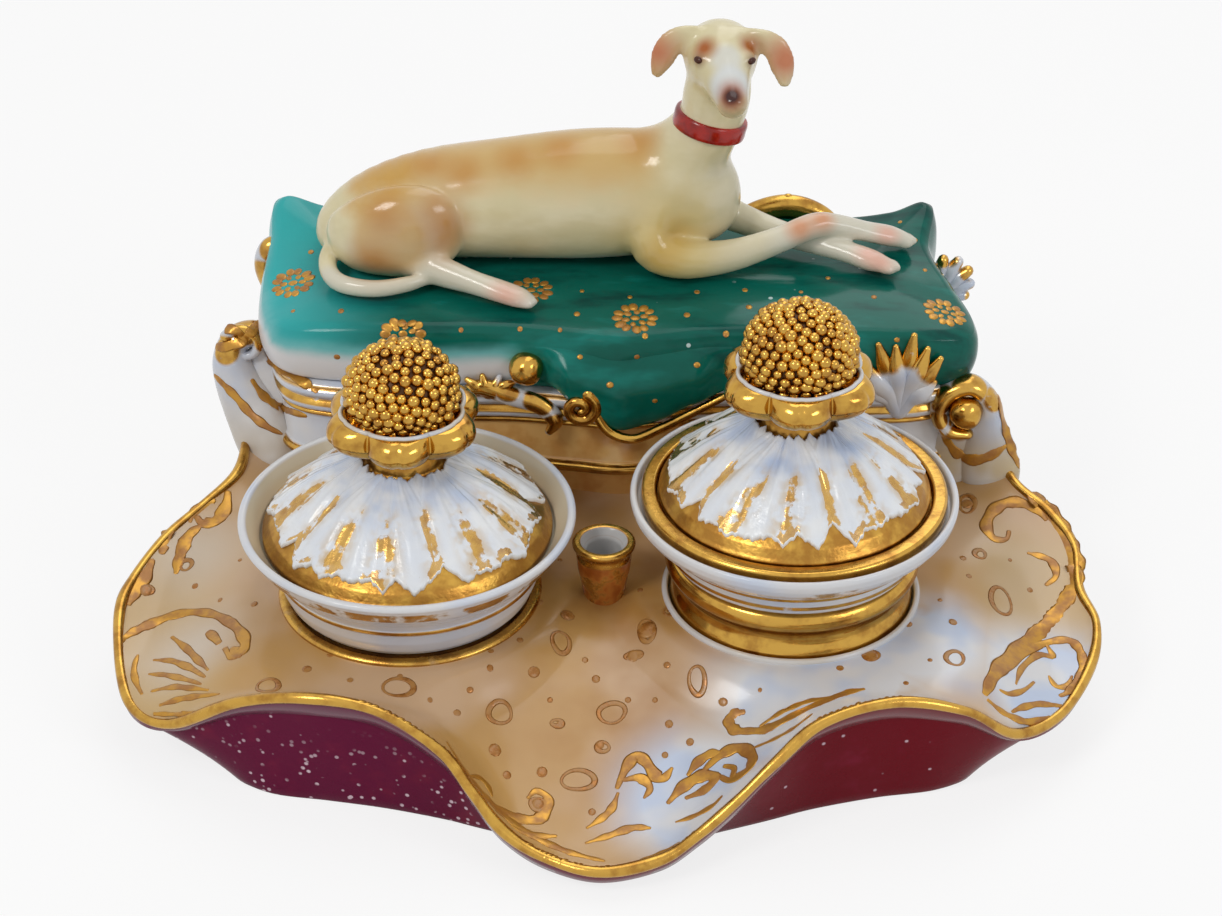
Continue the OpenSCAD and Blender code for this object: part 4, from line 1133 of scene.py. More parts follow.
def calyx(name, node, axis, z0, body, turn=0.0):
    """Six swelling gilt petals that hold the berries, with a white line on their inner edge."""
    b = 14.2
    prof = path_points([[b - 6.7, -1.5, 0], [b - 1.7, -0.4, 0.35], [b + 1.8, 1.2, 0.9], [b + 3.7, 3.6, 1],
                        [b + 3.6, 6.2, 0.95], [b + 2.2, 7.9, 0.65], [b + 0.5, 8.3, 0.3], [b - 1.2, 7.4, 0]], 40)
    n = 360
    a = angles(n)
    petal = np.abs(np.cos(3 * (a - turn))) ** 0.62
    crease = bell(np.sin(3 * (a - turn)), 0.16)
    rings = []
    for r, z, k in prof:
        k = max(k, 0)
        q = r * (1 - 0.2 * k * (1 - petal)) + 1.3 * k * petal - 0.55 * k * crease
        rings.append(np.column_stack([q * np.cos(a), q * np.sin(a), z - 1.6 * k * (1 - petal) * (z > 4)]))
    verts, faces = stack(rings)
    verts = verts + [axis[0], axis[1], z0]
    piece(name, verts, faces, gilding("gilt_petal", 0.15, 0.03), body, [node], "gilt")
    edge = rings[33] + [axis[0], axis[1], z0 + 0.15]
    piece(name + "_edge", *loop_rod(edge, [0, 0, 1.0], 0.55, 0.6, 8), made_once("white", white_material), body,
          slot="white_glaze")


def berry_core_shade_paint():
    """Dark brown painted shade that shows in the gaps between the berries."""
    p = Paint("berry_core", IOR=1.5, Metallic=0.6)
    fine = p.noise(1.4, 2.0)
    p.put("Base Color", p.blend(ink(84, 50, 14), ink(46, 26, 8), fine))
    p.put("Roughness", 0.35 + fine * 0.2)
    return p.mat


def berry_knob(name, node, axis, z0, body, seed):
    """Ball of small berries, evenly but irregularly packed round a core whose dark brown is painted shade."""
    s = sizes()
    count = s.berry_count
    r, h = 14.2 - s.berry / MM * 0.95, 12.6 - s.berry / MM * 0.95
    rng = np.random.default_rng(seed)
    d = unit(rng.normal(size=(count, 3)))
    for _ in range(26):  # berries push each other apart
        gap = d[:, None] - d[None]
        far = np.linalg.norm(gap, axis=2) + np.eye(count)
        push = (gap / far[..., None] * np.maximum(0.26 - far, 0)[..., None]).sum(1)
        d = unit(d + 0.35 * push)
    pts = d * [r, r, h] * (1 + rng.uniform(-0.02, 0.02, count))[:, None]
    face = unit(d / [r, r, h])
    keep = pts[:, 2] > -9.6
    pts, face = pts[keep], face[keep]
    centre = np.array([axis[0], axis[1], z0])
    mesh = point_mesh(name, pts + centre, facing=face, along=across(face), size=np.ones(len(pts)))
    out = scattered(name, mesh, Radius=s.berry, Flatness=1.0, Length=1.0, Jitter=0.2, Seed=seed,
                    Material=gilding("gilt_berry", 0.13, 0.02))
    settle(name, out, body, [node])
    inner, low = r - 0.25, h - 0.25
    # the core's dark colour is painted shade in the gaps between the berries
    core = oval(centre, (inner, 0, 0), (0, inner, 0), (0, 0, low), 48, 26, 4)
    piece(name + "_core", *core, made_once("core", berry_core_shade_paint), body, slot="gilt")


def lid(side, axis, z0, r, body, seed):
    rs = [r - 1.8 - (r - 1.8 - 9) * i / 24 for i in range(25)]
    prof = [[0, LID_H - 5], [8, LID_H - 7], [r * 0.45, float(dome(r * 0.45, r)) - 5],
            [r * 0.7, float(dome(r * 0.7, r)) - 5], [r - 7, 2.2], [r - 7, 0], [r - 0.4, 0], [r, 0.4], [r, 1.8],
            [r - 0.6, 2.5]]
    prof += [[q, float(dome(q, r))] for q in rs] + [[7, LID_H + 1.5], [0, LID_H + 1.5]]
    turned(side + "_lid_dome", prof, axis, gilding("gilt_dome", 0.33, 0.12, 0.3), body, side + "_lid", "gilt", z0)
    leaf_rosette(side + "_leaf_rosette", side + "_lid_leaf", axis, z0, r, body, seed)
    calyx(side + "_petal_cup", side + "_calyx", axis, z0 + LID_H + 0.4, body, math.radians(30))
    berry_knob(side + "_berry_knob", side + "_berries", axis, z0 + LID_H + 13, body, seed)


# Plinth and cushion


def swept_wall(ring, profile):
    """Rings of a wall round the plinth from (outward offset, height) pairs."""
    return [np.column_stack([grown(ring, d), np.full(len(ring), z)]) for d, z in profile]


def plinth_paint():
    """White wall with gilt on the hollows and bands, washed peach behind the pots, where the peach is made extra
    light as painted light against the shade there.
    """
    p = glaze("plinth_glaze")
    x, _, z = p.xyz()
    base = p.blend(WHITE, COOL, p.noise(20.0, 2.0).ramp(0.4, 0.7) * 0.8)
    # peach wash behind the pots, made extra light as painted light where shade falls on it
    peach = p.blend(ink(244, 196, 116), ink(226, 164, 80), p.noise(8.0, 3.0).ramp(0.4, 0.65))
    peach_wash_and_light = abs(x + 1.0).ramp(62.0, 30.0) * z.ramp(49.5, 47.5)
    base = p.blend(base, peach, peach_wash_and_light * 0.95)
    worn = p.noise(6.0, 3.0, 0.6)
    gilt = highest([band(z, 33.8, 37.4, 0.3), band(z, 47.6, 49.6, 0.25), band(z, 51.4, 53.2, 0.3),
                    band(z, 56.2, 57.6, 0.25) * 0.9])
    fine = gold_into(p, base, (gilt * worn.ramp(0.24, 0.36)).held(), 0.2)
    p.relief(p.noise(10.0, 1.5) + fine * 0.1, 0.12)
    return p.mat


def plinth_block():
    """Raised block with a cornice above and a moulding half way down."""
    ring = loop_points(PLINTH, 400)
    top = PLINTH_TOP
    prof = [(-5, 3), (-5, top), (0.6, top), (1.5, top - 0.35), (1.75, top - 0.9), (1.5, top - 1.4), (2.2, top - 1.9),
            (2.5, top - 2.7), (2.2, top - 3.5), (1.2, top - 4.1), (0.75, top - 4.8), (1.0, top - 5.4),
            (1.7, top - 6), (1.95, top - 6.9), (1.7, top - 7.8), (0.8, top - 8.3), (0.5, top - 8.9),
            (0.9, top - 9.3), (0.8, top - 9.8), (0, top - 10.1), (0, 38), (0.5, 37.7), (0.9, 37.3), (0.9, 36.9),
            (1.5, 36.7), (1.85, 36.1), (1.85, 35.5), (1.5, 35), (0.9, 34.8), (0.9, 34.3), (0.4, 33.9), (0, 33.6),
            (0, 3)]
    verts, faces = torus_like(swept_wall(ring, prof))
    piece("plinth_block", verts, faces, made_once("plinth", plinth_paint), "base",
          ["plinth_wall", "plinth_moulding", "plinth_cornice"], "white_glaze", sharp=60)


def cushion_paint():
    """Deep green ground, patchy with the brush, faded to white where the colour ran out low at the left."""
    p = glaze("green_ground", Coat_Weight=0.0, Specular_IOR_Level=0.17)
    x, y, z = p.xyz()
    wash = p.noise(16.0, 4.0, 0.6, (0.5, 1.6, 1.0))
    col = p.blend(chosen("cloth"), ink(4, 66, 60), wash.ramp(0.5, 0.72))
    col = p.blend(col, ink(24, 134, 124), wash.ramp(0.48, 0.26) * 0.75)
    pool = p.noise(5.0, 2.0).ramp(0.6, 0.8) * 0.25
    col = p.blend(col, ink(4, 60, 54), pool)
    col = p.blend(col, ink(58, 184, 186), x.ramp(-48.0, -92.0) * 0.85)
    edge = (wash - 0.5) * 4.0
    bare = (x + edge * 2.0).ramp(-16.0, -30.0) * (z + edge).ramp(74.0, 62.5) * y.ramp(66.0, 52.0)
    bare = bare.high((x + edge).ramp(-80.0, -91.0) * (z + edge).ramp(78.0, 66.0) * y.ramp(80.0, 60.0))
    col = p.blend(col, ink(120, 190, 192), bare.ramp(0.05, 0.5) * 0.8)
    col = p.blend(col, WHITE, bare.ramp(0.4, 0.95))
    # pale specks of painted highlight: small glints scattered on the green
    glint_flecks = p.cells(9.0).ramp(0.075, 0.05) * p.noise(20.0, 1.0).ramp(0.5, 0.6)
    p.put("Base Color", p.blend(col, ink(200, 222, 222), glint_flecks * 0.9))
    p.put("Roughness", 0.1 + wash * 0.1)
    p.relief(p.noise(14.0, 1.5), 0.3)
    return p.mat


def soft_cushion():
    """Plump cushion whose top swells inward from a full edge to a flat bed for the dog."""
    n = 432
    edge = loop_points(CUSHION, n)

    def side(d, f):
        return np.column_stack([grown(edge, d), PLINTH_TOP + f * (edge[:, 2] - PLINTH_TOP)])

    def top(u):
        q = np.column_stack([np.clip(edge[:, 0], -62, 62), np.full(n, 60.0)])
        s = edge[:, :2] + u * (q - edge[:, :2])
        w = (1 - u) ** 2
        return np.column_stack([s, CUSHION_TOP * (1 - w) + edge[:, 2] * w])

    prof = path_points([[-0.5, 0], [1.2, 0.1], [2.4, 0.4], [2.3, 0.72], [1.1, 0.93]], 22)
    rings = [side(d, f) for d, f in prof] + [top(u) for u in np.linspace(0.035, 0.78, 26)]
    flat = top(0.82)
    flat[:, 2] = CUSHION_TOP
    verts, faces = stack(rings + [flat])
    piece("cushion_top", verts, faces, made_once("cushion", cushion_paint), "base", ["cushion"], "green_ground")


def drape_low(x):
    return np.where(x < 3, 51 + 10.5 * smoothstep((3 - x) / 21), 51 + 8.5 * smoothstep((x - 3) / 30))


def hanging_cloth():
    """Point of cloth in front of the plinth, with a rounded hem and soft folds."""
    xs = np.linspace(-19, 31, 90)
    rings = []
    for x in xs:
        lo = float(drape_low(np.array(x)))
        v = np.linspace(0, 1, 22)
        z = lo + (73.5 - lo) * v
        y = 27.4 - 3.2 * bell(x - 3, 13) - 0.9 * np.sin(np.pi * v)
        y = y - 0.35 * np.sin(x * 0.55) * (1 - v) + 0.5 * bell(v, 0.08)
        skin = 31.2 - 1.6 * bell(x - 2, 12)
        shown = smoothstep((x + 19) / 9) * smoothstep((31 - x) / 10) * (1 - smoothstep((v - 0.45) / 0.55))
        y = skin + (y - skin) * shown + 3.2 * smoothstep((v - 0.8) / 0.2)
        back = 31.6 - 3.5 * bell(x - 2, 11) + 0.6
        tuck = 1.5 * smoothstep((PLINTH_TOP - 1 - lo) / 3)
        front = np.column_stack([np.full(22, x), y, z])
        rings.append(np.vstack([[[x, back + tuck, lo + 1.3], [x, back + 0.6, (lo + 74) / 2 + 2],
                                 [x, back + 1.0, 72.5]], front[::-1], [[x, y[0] + 1.0, lo - 0.25]]]))
    verts, faces = stack(rings)
    piece("hanging_cloth", verts, faces, made_once("cushion", cushion_paint), "base", ["front_drape"],
          "green_ground", sharp=70)


# Scroll work


def scroll_paint(name, spots, warm=0.0):
    """White scroll with gilding brushed over chosen places: (x, y, z, reach) in millimetres."""
    def make():
        p = glaze(name)
        tone = p.noise(12.0, 2.0)
        base = p.blend(WHITE, COOL, tone.ramp(0.35, 0.7) * 0.8)
        base = p.blend(base, CREAM, p.xyz()[2].ramp(50.0, 34.0) * tone.ramp(0.2, 0.6) * warm)
        worn = p.noise(5.0, 3.0, 0.6)
        mask = highest([p.near(*spot).ramp(0.12, 0.36) for spot in spots])
        fine = gold_into(p, base, (mask * worn.ramp(0.2, 0.36)).held(), 0.2)
        p.relief(tone + fine * 0.2, 0.12)
        return p.mat
    return made_once(name, make)


def rod(ctrl, n=70, sides=26, up=(0, 1, 0)):
    """Smooth rod through [x, y, z, half width, half height] points."""
    path = path_points(ctrl, n)
    path[:, 3:] = np.maximum(path[:, 3:], 0.4)
    return tube(path, sides, up)


def spiral_ctrl(centre, r0, turns, width, start, lift):
    """Control points of a rod that curls inward in a plane that faces the front, thinning as it goes."""
    out = []
    for share in np.linspace(0, 1, 17):
        a = math.radians(start - turns * 360 * share)
        r = r0 * (1 - 0.82 * share)
        k = width * (1 - 0.45 * share)
        out.append([centre[0] + r * math.cos(a), centre[1] - lift * share, centre[2] + r * math.sin(a), k, k])
    return out


def scrollwork(name, node, rods, material, slot):
    """One piece of scroll work on the base, made of rods."""
    piece(name, *joined(rods), material, "base", [node], slot)


def scroll_ball(name, node, centre, r=4.4):
    """Gilt ball with a faint swirl."""
    ball = oval(centre, (r, 0, 0), (0, 0, r), (0, -r, 0), 40, 24, 3, 0.03)
    piece(name, *ball, gilding("gilt_scroll", 0.19, 0.06), "base", [node], "gilt")


def brackets():
    """Side scrolls of the plinth: thick outer rods, with a web behind that joins each to the wall."""
    rods = [rod([[-90, 57, 57.5, 2.6, 4], [-94, 56.5, 59.6, 3.2, 4.4], [-98.5, 55, 58.4, 3.8, 4.4],
                 [-99.6, 53.5, 53.4, 5.2, 4.2], [-98.2, 52, 47.5, 6.2, 4.2], [-95.4, 49.5, 41.5, 7.2, 4.2],
                 [-92.3, 46, 36, 7.8, 4.6], [-89.6, 43, 30, 7.4, 4.8]]),
            rod(spiral_ctrl([-96.2, 52.5, 58.4], 5.2, 1.25, 1.5, 150, 1.2)),
            rod([[-83, 49, 33, 5, 3], [-87.5, 51, 41, 6.5, 3], [-91.5, 54, 49, 6, 3], [-92.5, 56, 55, 3, 2.4]])]
    spots = [(-95, 54, 63, 7), (-101, 50, 58, 6), (-96, 51, 37, 6), (-90, 52, 60, 5)]
    scrollwork("left_scroll", "left_bracket", rods, scroll_paint("left_bracket_glaze", spots, 0.55), "white_glaze")
    rods = [rod([[99.2, 36, 31, 7.8, 4], [97.8, 37.5, 38, 7.4, 4], [96.9, 37.5, 46, 5.4, 4],
                 [97.2, 36.5, 53.4, 2.8, 4], [92.4, 36, 58.4, 2.6, 3.8], [86.6, 35.5, 56.4, 2.5, 3.6],
                 [84.4, 35, 51, 2.4, 3.6], [87, 34.5, 46.2, 2.2, 3.4], [91.6, 34.5, 45, 1.6, 2.8]], 90),
            rod([[90, 38, 30, 6, 3], [90.5, 38.5, 37, 6.5, 3], [91, 38, 44, 5.5, 3], [91, 37.5, 50, 3, 2.4]])]
    spots = [(85, 32, 56, 6), (92, 32, 60.5, 8), (99.5, 33, 56, 6), (90, 32, 44.5, 6), (84, 32, 50, 4)]
    scrollwork("right_scroll", "right_volute", rods, scroll_paint("right_scroll_glaze", spots, 0.9), "white_glaze")


def fan_leaf():
    """Leaf of eight ribs that fan out at the plinth's right front, from (angle, length, bulge) rows."""
    foot_x, ribs = 74, []
    for a, l, b in ((-52, 11, 0.8), (-36, 14, -0.5), (-19, 18.5, 0.6), (-6, 17, -0.4), (7, 20.5, 0.6),
                    (20, 17.5, -0.4), (34, 16.5, 0.6), (50, 10.5, 0)):
        s, c = math.sin(math.radians(a)), math.cos(math.radians(a))
        ribs.append(rod([[foot_x, 33.2, 52, 2.4, 1.8],
                         [foot_x + 0.3 * l * s, 32.2 + 0.4 * b, 54 + 0.3 * l * c, 2.2, 1.6],
                         [foot_x + 0.68 * l * s, 30.8 + b, 54 + 0.68 * l * c, 2.3, 1.4],
                         [foot_x + l * s * 1.04, 31.6, 55 + l * c, 0.9, 0.8]], 34, 14))
    spots = [(68, 31, 72, 11), (77, 31, 74, 11), (84, 31, 68, 10), (62, 31, 66, 6)]
    scrollwork("fan_leaf", "plinth_leaf", ribs, scroll_paint("fan_glaze", spots), "white_glaze")


def front_scrolls():
    """Gilt curl under the hanging cloth, and the small shell beside it."""
    rods = [rod(spiral_ctrl([-7.5, 25.6, 57], 4.6, 1.35, 1.9, 60, 1.0), 80, 16),
            rod([[-5.4, 26.5, 60.6, 1.5, 1.4], [-3.6, 25.8, 55.6, 1.5, 1.4], [0, 24.9, 50.2, 1.4, 1.4],
                 [6, 24.3, 48.4, 1.3, 1.3], [13, 26.4, 50.3, 1.3, 1.2], [20, 28.4, 53.2, 1.2, 1.1],
                 [29, 30.2, 57.6, 1.0, 1.0]], 70, 14)]
    scrollwork("cloth_scroll", "front_volute", rods, gilding("gilt_scroll", 0.19, 0.06), "gilt")
    rods = [rod([[-39, 32, 56, 1.2, 1.2], [-33, 31, 59.4, 2.2, 1.8], [-26, 30.4, 57.4, 2.6, 2],
                 [-18, 29.8, 55, 2.6, 2], [-14, 29, 51, 2.2, 1.8], [-15.5, 29, 47.5, 1.1, 1]], 60, 20)]
    for lean in (-3, -0.8, 1.6, 3.8):
        rods.append(rod([[-31, 31.5, 57, 1.5, 1.2], [-31 + lean, 30.4, 60, 1.5, 1.2],
                         [-31 + 1.8 * lean, 31.2, 63 - abs(lean) * 0.5, 0.8, 0.7]], 24, 12))
    spots = [(-33, 30, 60, 7), (-18, 28, 57, 6), (-14, 28, 50, 5), (-26, 28, 60, 5)]
    scrollwork("front_scrollwork", "front_scroll", rods, scroll_paint("front_scroll_glaze", spots), "gilt")


def back_scrolls():
    """Crest at the middle of the back, and a scroll and a shell at the back corners."""
    rods = [rod([[30, 88.5, 68, 3, 3], [35, 89.8, 76.6, 3.2, 2.8], [46, 90.3, 80.4, 3.4, 2.8],
                 [56, 89.8, 77, 3.2, 2.8], [61, 88.5, 68, 3, 3]])]
    for x, z in ((36, 78.6), (41, 81.6), (46.5, 82.8), (52, 81.2), (57, 77.6)):
        rods.append(rod([[x, 91, z - 7, 2.4, 1.6], [x, 90.6, z - 3, 2.6, 1.8], [x, 90.4, z, 1.6, 1.2]], 18, 12))
    scrollwork("back_crest", "rear_crest", rods, gilding("gilt_scroll", 0.19, 0.06), "gilt")
    rods = [rod([[-86, 80, 55, 4, 4], [-89.6, 79, 61, 4.2, 3.6], [-92, 77.5, 68, 3.6, 3.2],
                 [-91, 77, 73.6, 3, 2.8], [-87.6, 78, 75.4, 2.2, 2.2]])]
    spots = [(-93, 74, 66, 8), (-90, 74, 75, 6)]
    scrollwork("back_left_scroll", "rear_left_scroll", rods, scroll_paint("back_left_glaze", spots), "white_glaze")
    rods = []
    for a, l in ((84, 8.5), (66, 10.6), (48, 12.2), (30, 12.6), (12, 11.6), (-6, 9.4)):
        s, c = math.sin(math.radians(a)), math.cos(math.radians(a))
        rods.append(rod([[84, 78, 58, 2.6, 2.6], [85 + 0.55 * l * s, 76.4, 61 + 0.55 * l * c, 2.3, 2.6],
                         [85 + l * s, 76, 61 + l * c, 1.5, 1.7]], 30, 14))
    spots = [(97, 74, 62, 5), (95, 74, 70, 5), (88, 74, 75, 6), (84, 74, 70, 4)]
    scrollwork("back_right_shell", "rear_right_shell", rods, scroll_paint("shell_glaze", spots), "white_glaze")


def scrolls():
    brackets()
    scroll_ball("scroll_ball", "volute_ball", (91.2, 33.4, 51.6))
    scroll_ball("cloth_ball", "front_ball", (-21.2, 30, 65.6))
    fan_leaf()
    front_scrolls()
    back_scrolls()


# Dog: one smooth skin over rounded limbs, from a distance field


def soft_union(a, b, k):
    """Smaller of two distances, rounded over a width k where they meet."""
    h = np.maximum(k - np.abs(a - b), 0) / k
    return np.minimum(a, b) - h * h * k * 0.25


class Skin:
    """Distance field on a grid, in millimetres, that limbs are added to."""

    def __init__(self, low, high, cell):
        self.low, self.cell = np.array(low, float), cell
        self.shape = tuple(int(math.ceil((h - l) / cell)) + 1 for l, h in zip(low, high))
        self.field = np.full(self.shape, 9.0, np.float32)

    def window(self, lo, hi):
        """The part of the grid between two corners, and its points."""
        a = [max(int((l - self.low[i]) / self.cell), 0) for i, l in enumerate(lo)]
        b = [min(int((h - self.low[i]) / self.cell) + 2, self.shape[i]) for i, h in enumerate(hi)]
        cut = tuple(slice(x, y) for x, y in zip(a, b))
        axes = [self.low[i] + self.cell * np.arange(a[i], b[i]) for i in range(3)]
        return cut, np.stack(np.meshgrid(*axes, indexing="ij"), -1).astype(np.float32)

    def limb(self, ctrl, k=2.0, n=24, up=(0, 0, 1)):
        """Adds a limb through [x, y, z, half width, half height] points; k is how softly it joins."""
        path = path_points(ctrl, n)
        path[:, 3:] = np.maximum(path[:, 3:], 0.5)
        pad = path[:, 3:].max() + 6
        cut, g = self.window(path[:, :3].min(0) - pad, path[:, :3].max(0) + pad)
        best = np.full(g.shape[:3], 99.0, np.float32)
        t = unit(np.gradient(path[:, :3], axis=0))
        for i in range(n - 1):
            a, b = path[i], path[i + 1]
            ab = b[:3] - a[:3]
            h = np.clip(((g - a[:3]) @ ab) / (ab @ ab), 0, 1)
            off = g - (a[:3] + h[..., None] * ab)
            u = np.cross(t[i], up)
            u = u / max(np.linalg.norm(u), 1e-6)
            v = np.cross(u, t[i])
            w = a[3] + h * (b[3] - a[3])
            e = a[4] + h * (b[4] - a[4])
            m = np.minimum(w, e)
            q = np.sqrt((off @ u / w) ** 2 + (off @ v / e) ** 2 + (off @ t[i] / m) ** 2)
            best = np.minimum(best, (q - 1) * m)
        self.field[cut] = soft_union(self.field[cut], best, k)

    def ball(self, c, radii, k=2.0):
        """Adds an oval that lies square to the axes."""
        c, radii = np.array(c, float), np.array(radii, float)
        pad = radii.max() + 6
        cut, g = self.window(c - pad, c + pad)
        q = np.sqrt((((g - c) / radii) ** 2).sum(-1))
        self.field[cut] = soft_union(self.field[cut], (q - 1) * radii.min(), k)

    def crossings(self, cells):
        """One point for each cell: the mean of the places where the skin crosses its edges."""
        f, steps = self.field, np.eye(3, dtype=int)
        pts, count = np.zeros((len(cells), 3)), np.zeros(len(cells))
        for axis in range(3):
            first, second = steps[[i for i in range(3) if i != axis]]
            for p, q in itertools.product((0, 1), repeat=2):
                start = cells + p * first + q * second
                a, b = f[tuple(start.T)], f[tuple((start + steps[axis]).T)]
                hit = (a < 0) != (b < 0)
                share = np.where(hit, a / np.where(hit, a - b, 1), 0)
                pts[hit] += (start + np.outer(share, steps[axis]))[hit]
                count[hit] += 1
        return pts / count[:, None]

    def quads(self, index):
        """One face for each grid edge that crosses the skin, between the four cells round that edge."""
        inside, steps, faces = self.field < 0, np.eye(3, dtype=int), []
        for axis in range(3):
            first, second = steps[[i for i in range(3) if i != axis]]
            nx, ny, nz = np.array(self.shape) - steps[axis]
            a, b = inside[:nx, :ny, :nz], inside[tuple(slice(s, None) for s in steps[axis])]
            edge = np.argwhere(a != b)
            edge = edge[(edge @ first > 0) & (edge @ second > 0)]
            quad = np.stack([index[tuple((edge - d).T)] for d in (first + second, second, 0 * first, first)], 1)
            flip = a[tuple(edge.T)] if axis != 1 else ~a[tuple(edge.T)]
            quad[~flip] = quad[~flip][:, ::-1]
            faces.append(quad)
        return np.vstack(faces)

    def surface(self, passes):
        """Closed quad skin at the field's zero, with some passes of smoothing applied."""
        inside = self.field < 0
        nx, ny, nz = np.array(self.shape) - 1
        total = np.zeros((nx, ny, nz), np.int8)
        for dx, dy, dz in itertools.product((0, 1), repeat=3):
            total += inside[dx:nx + dx, dy:ny + dy, dz:nz + dz]
        live = (total > 0) & (total < 8)
        index = -np.ones(live.shape, np.int64)
        cells = np.argwhere(live)
        index[live] = np.arange(len(cells))
        faces = self.quads(index)
        verts = self.low + self.cell * self.crossings(cells)
        for _ in range(passes):
            near, n = np.zeros_like(verts), np.zeros(len(verts))
            for i, j in itertools.product(range(4), (1, 3)):
                np.add.at(near, faces[:, i], verts[faces[:, (i + j) % 4]])
                np.add.at(n, faces[:, i], 1)
            verts = 0.5 * verts + 0.5 * near / n[:, None]
        return verts, faces.tolist()


# Places on the dog, in pixels of the photograph
EYES_PX = ((698, 60), (752, 61))
BROWS_PX = ((704, 48), (750, 47))
NOSE_PX = ((732, 96),)
EAR_TIPS_PX = ((658, 52), (785, 58))
BACK_PATCHES_PX = ((515, 160), (462, 172), (430, 165), (560, 148), (640, 142))
SHOULDER_PATCHES_PX = ((672, 238), (662, 258))
THIGH_RING_PX = ((432, 206), (447, 222), (446, 240), (385, 215), (372, 262))
WRIST_PX = ((822, 219), (800, 228))
PAWS_PX = ((888, 233), (868, 252), (880, 262))
HIND_FOOT_PX = ((505, 296),)


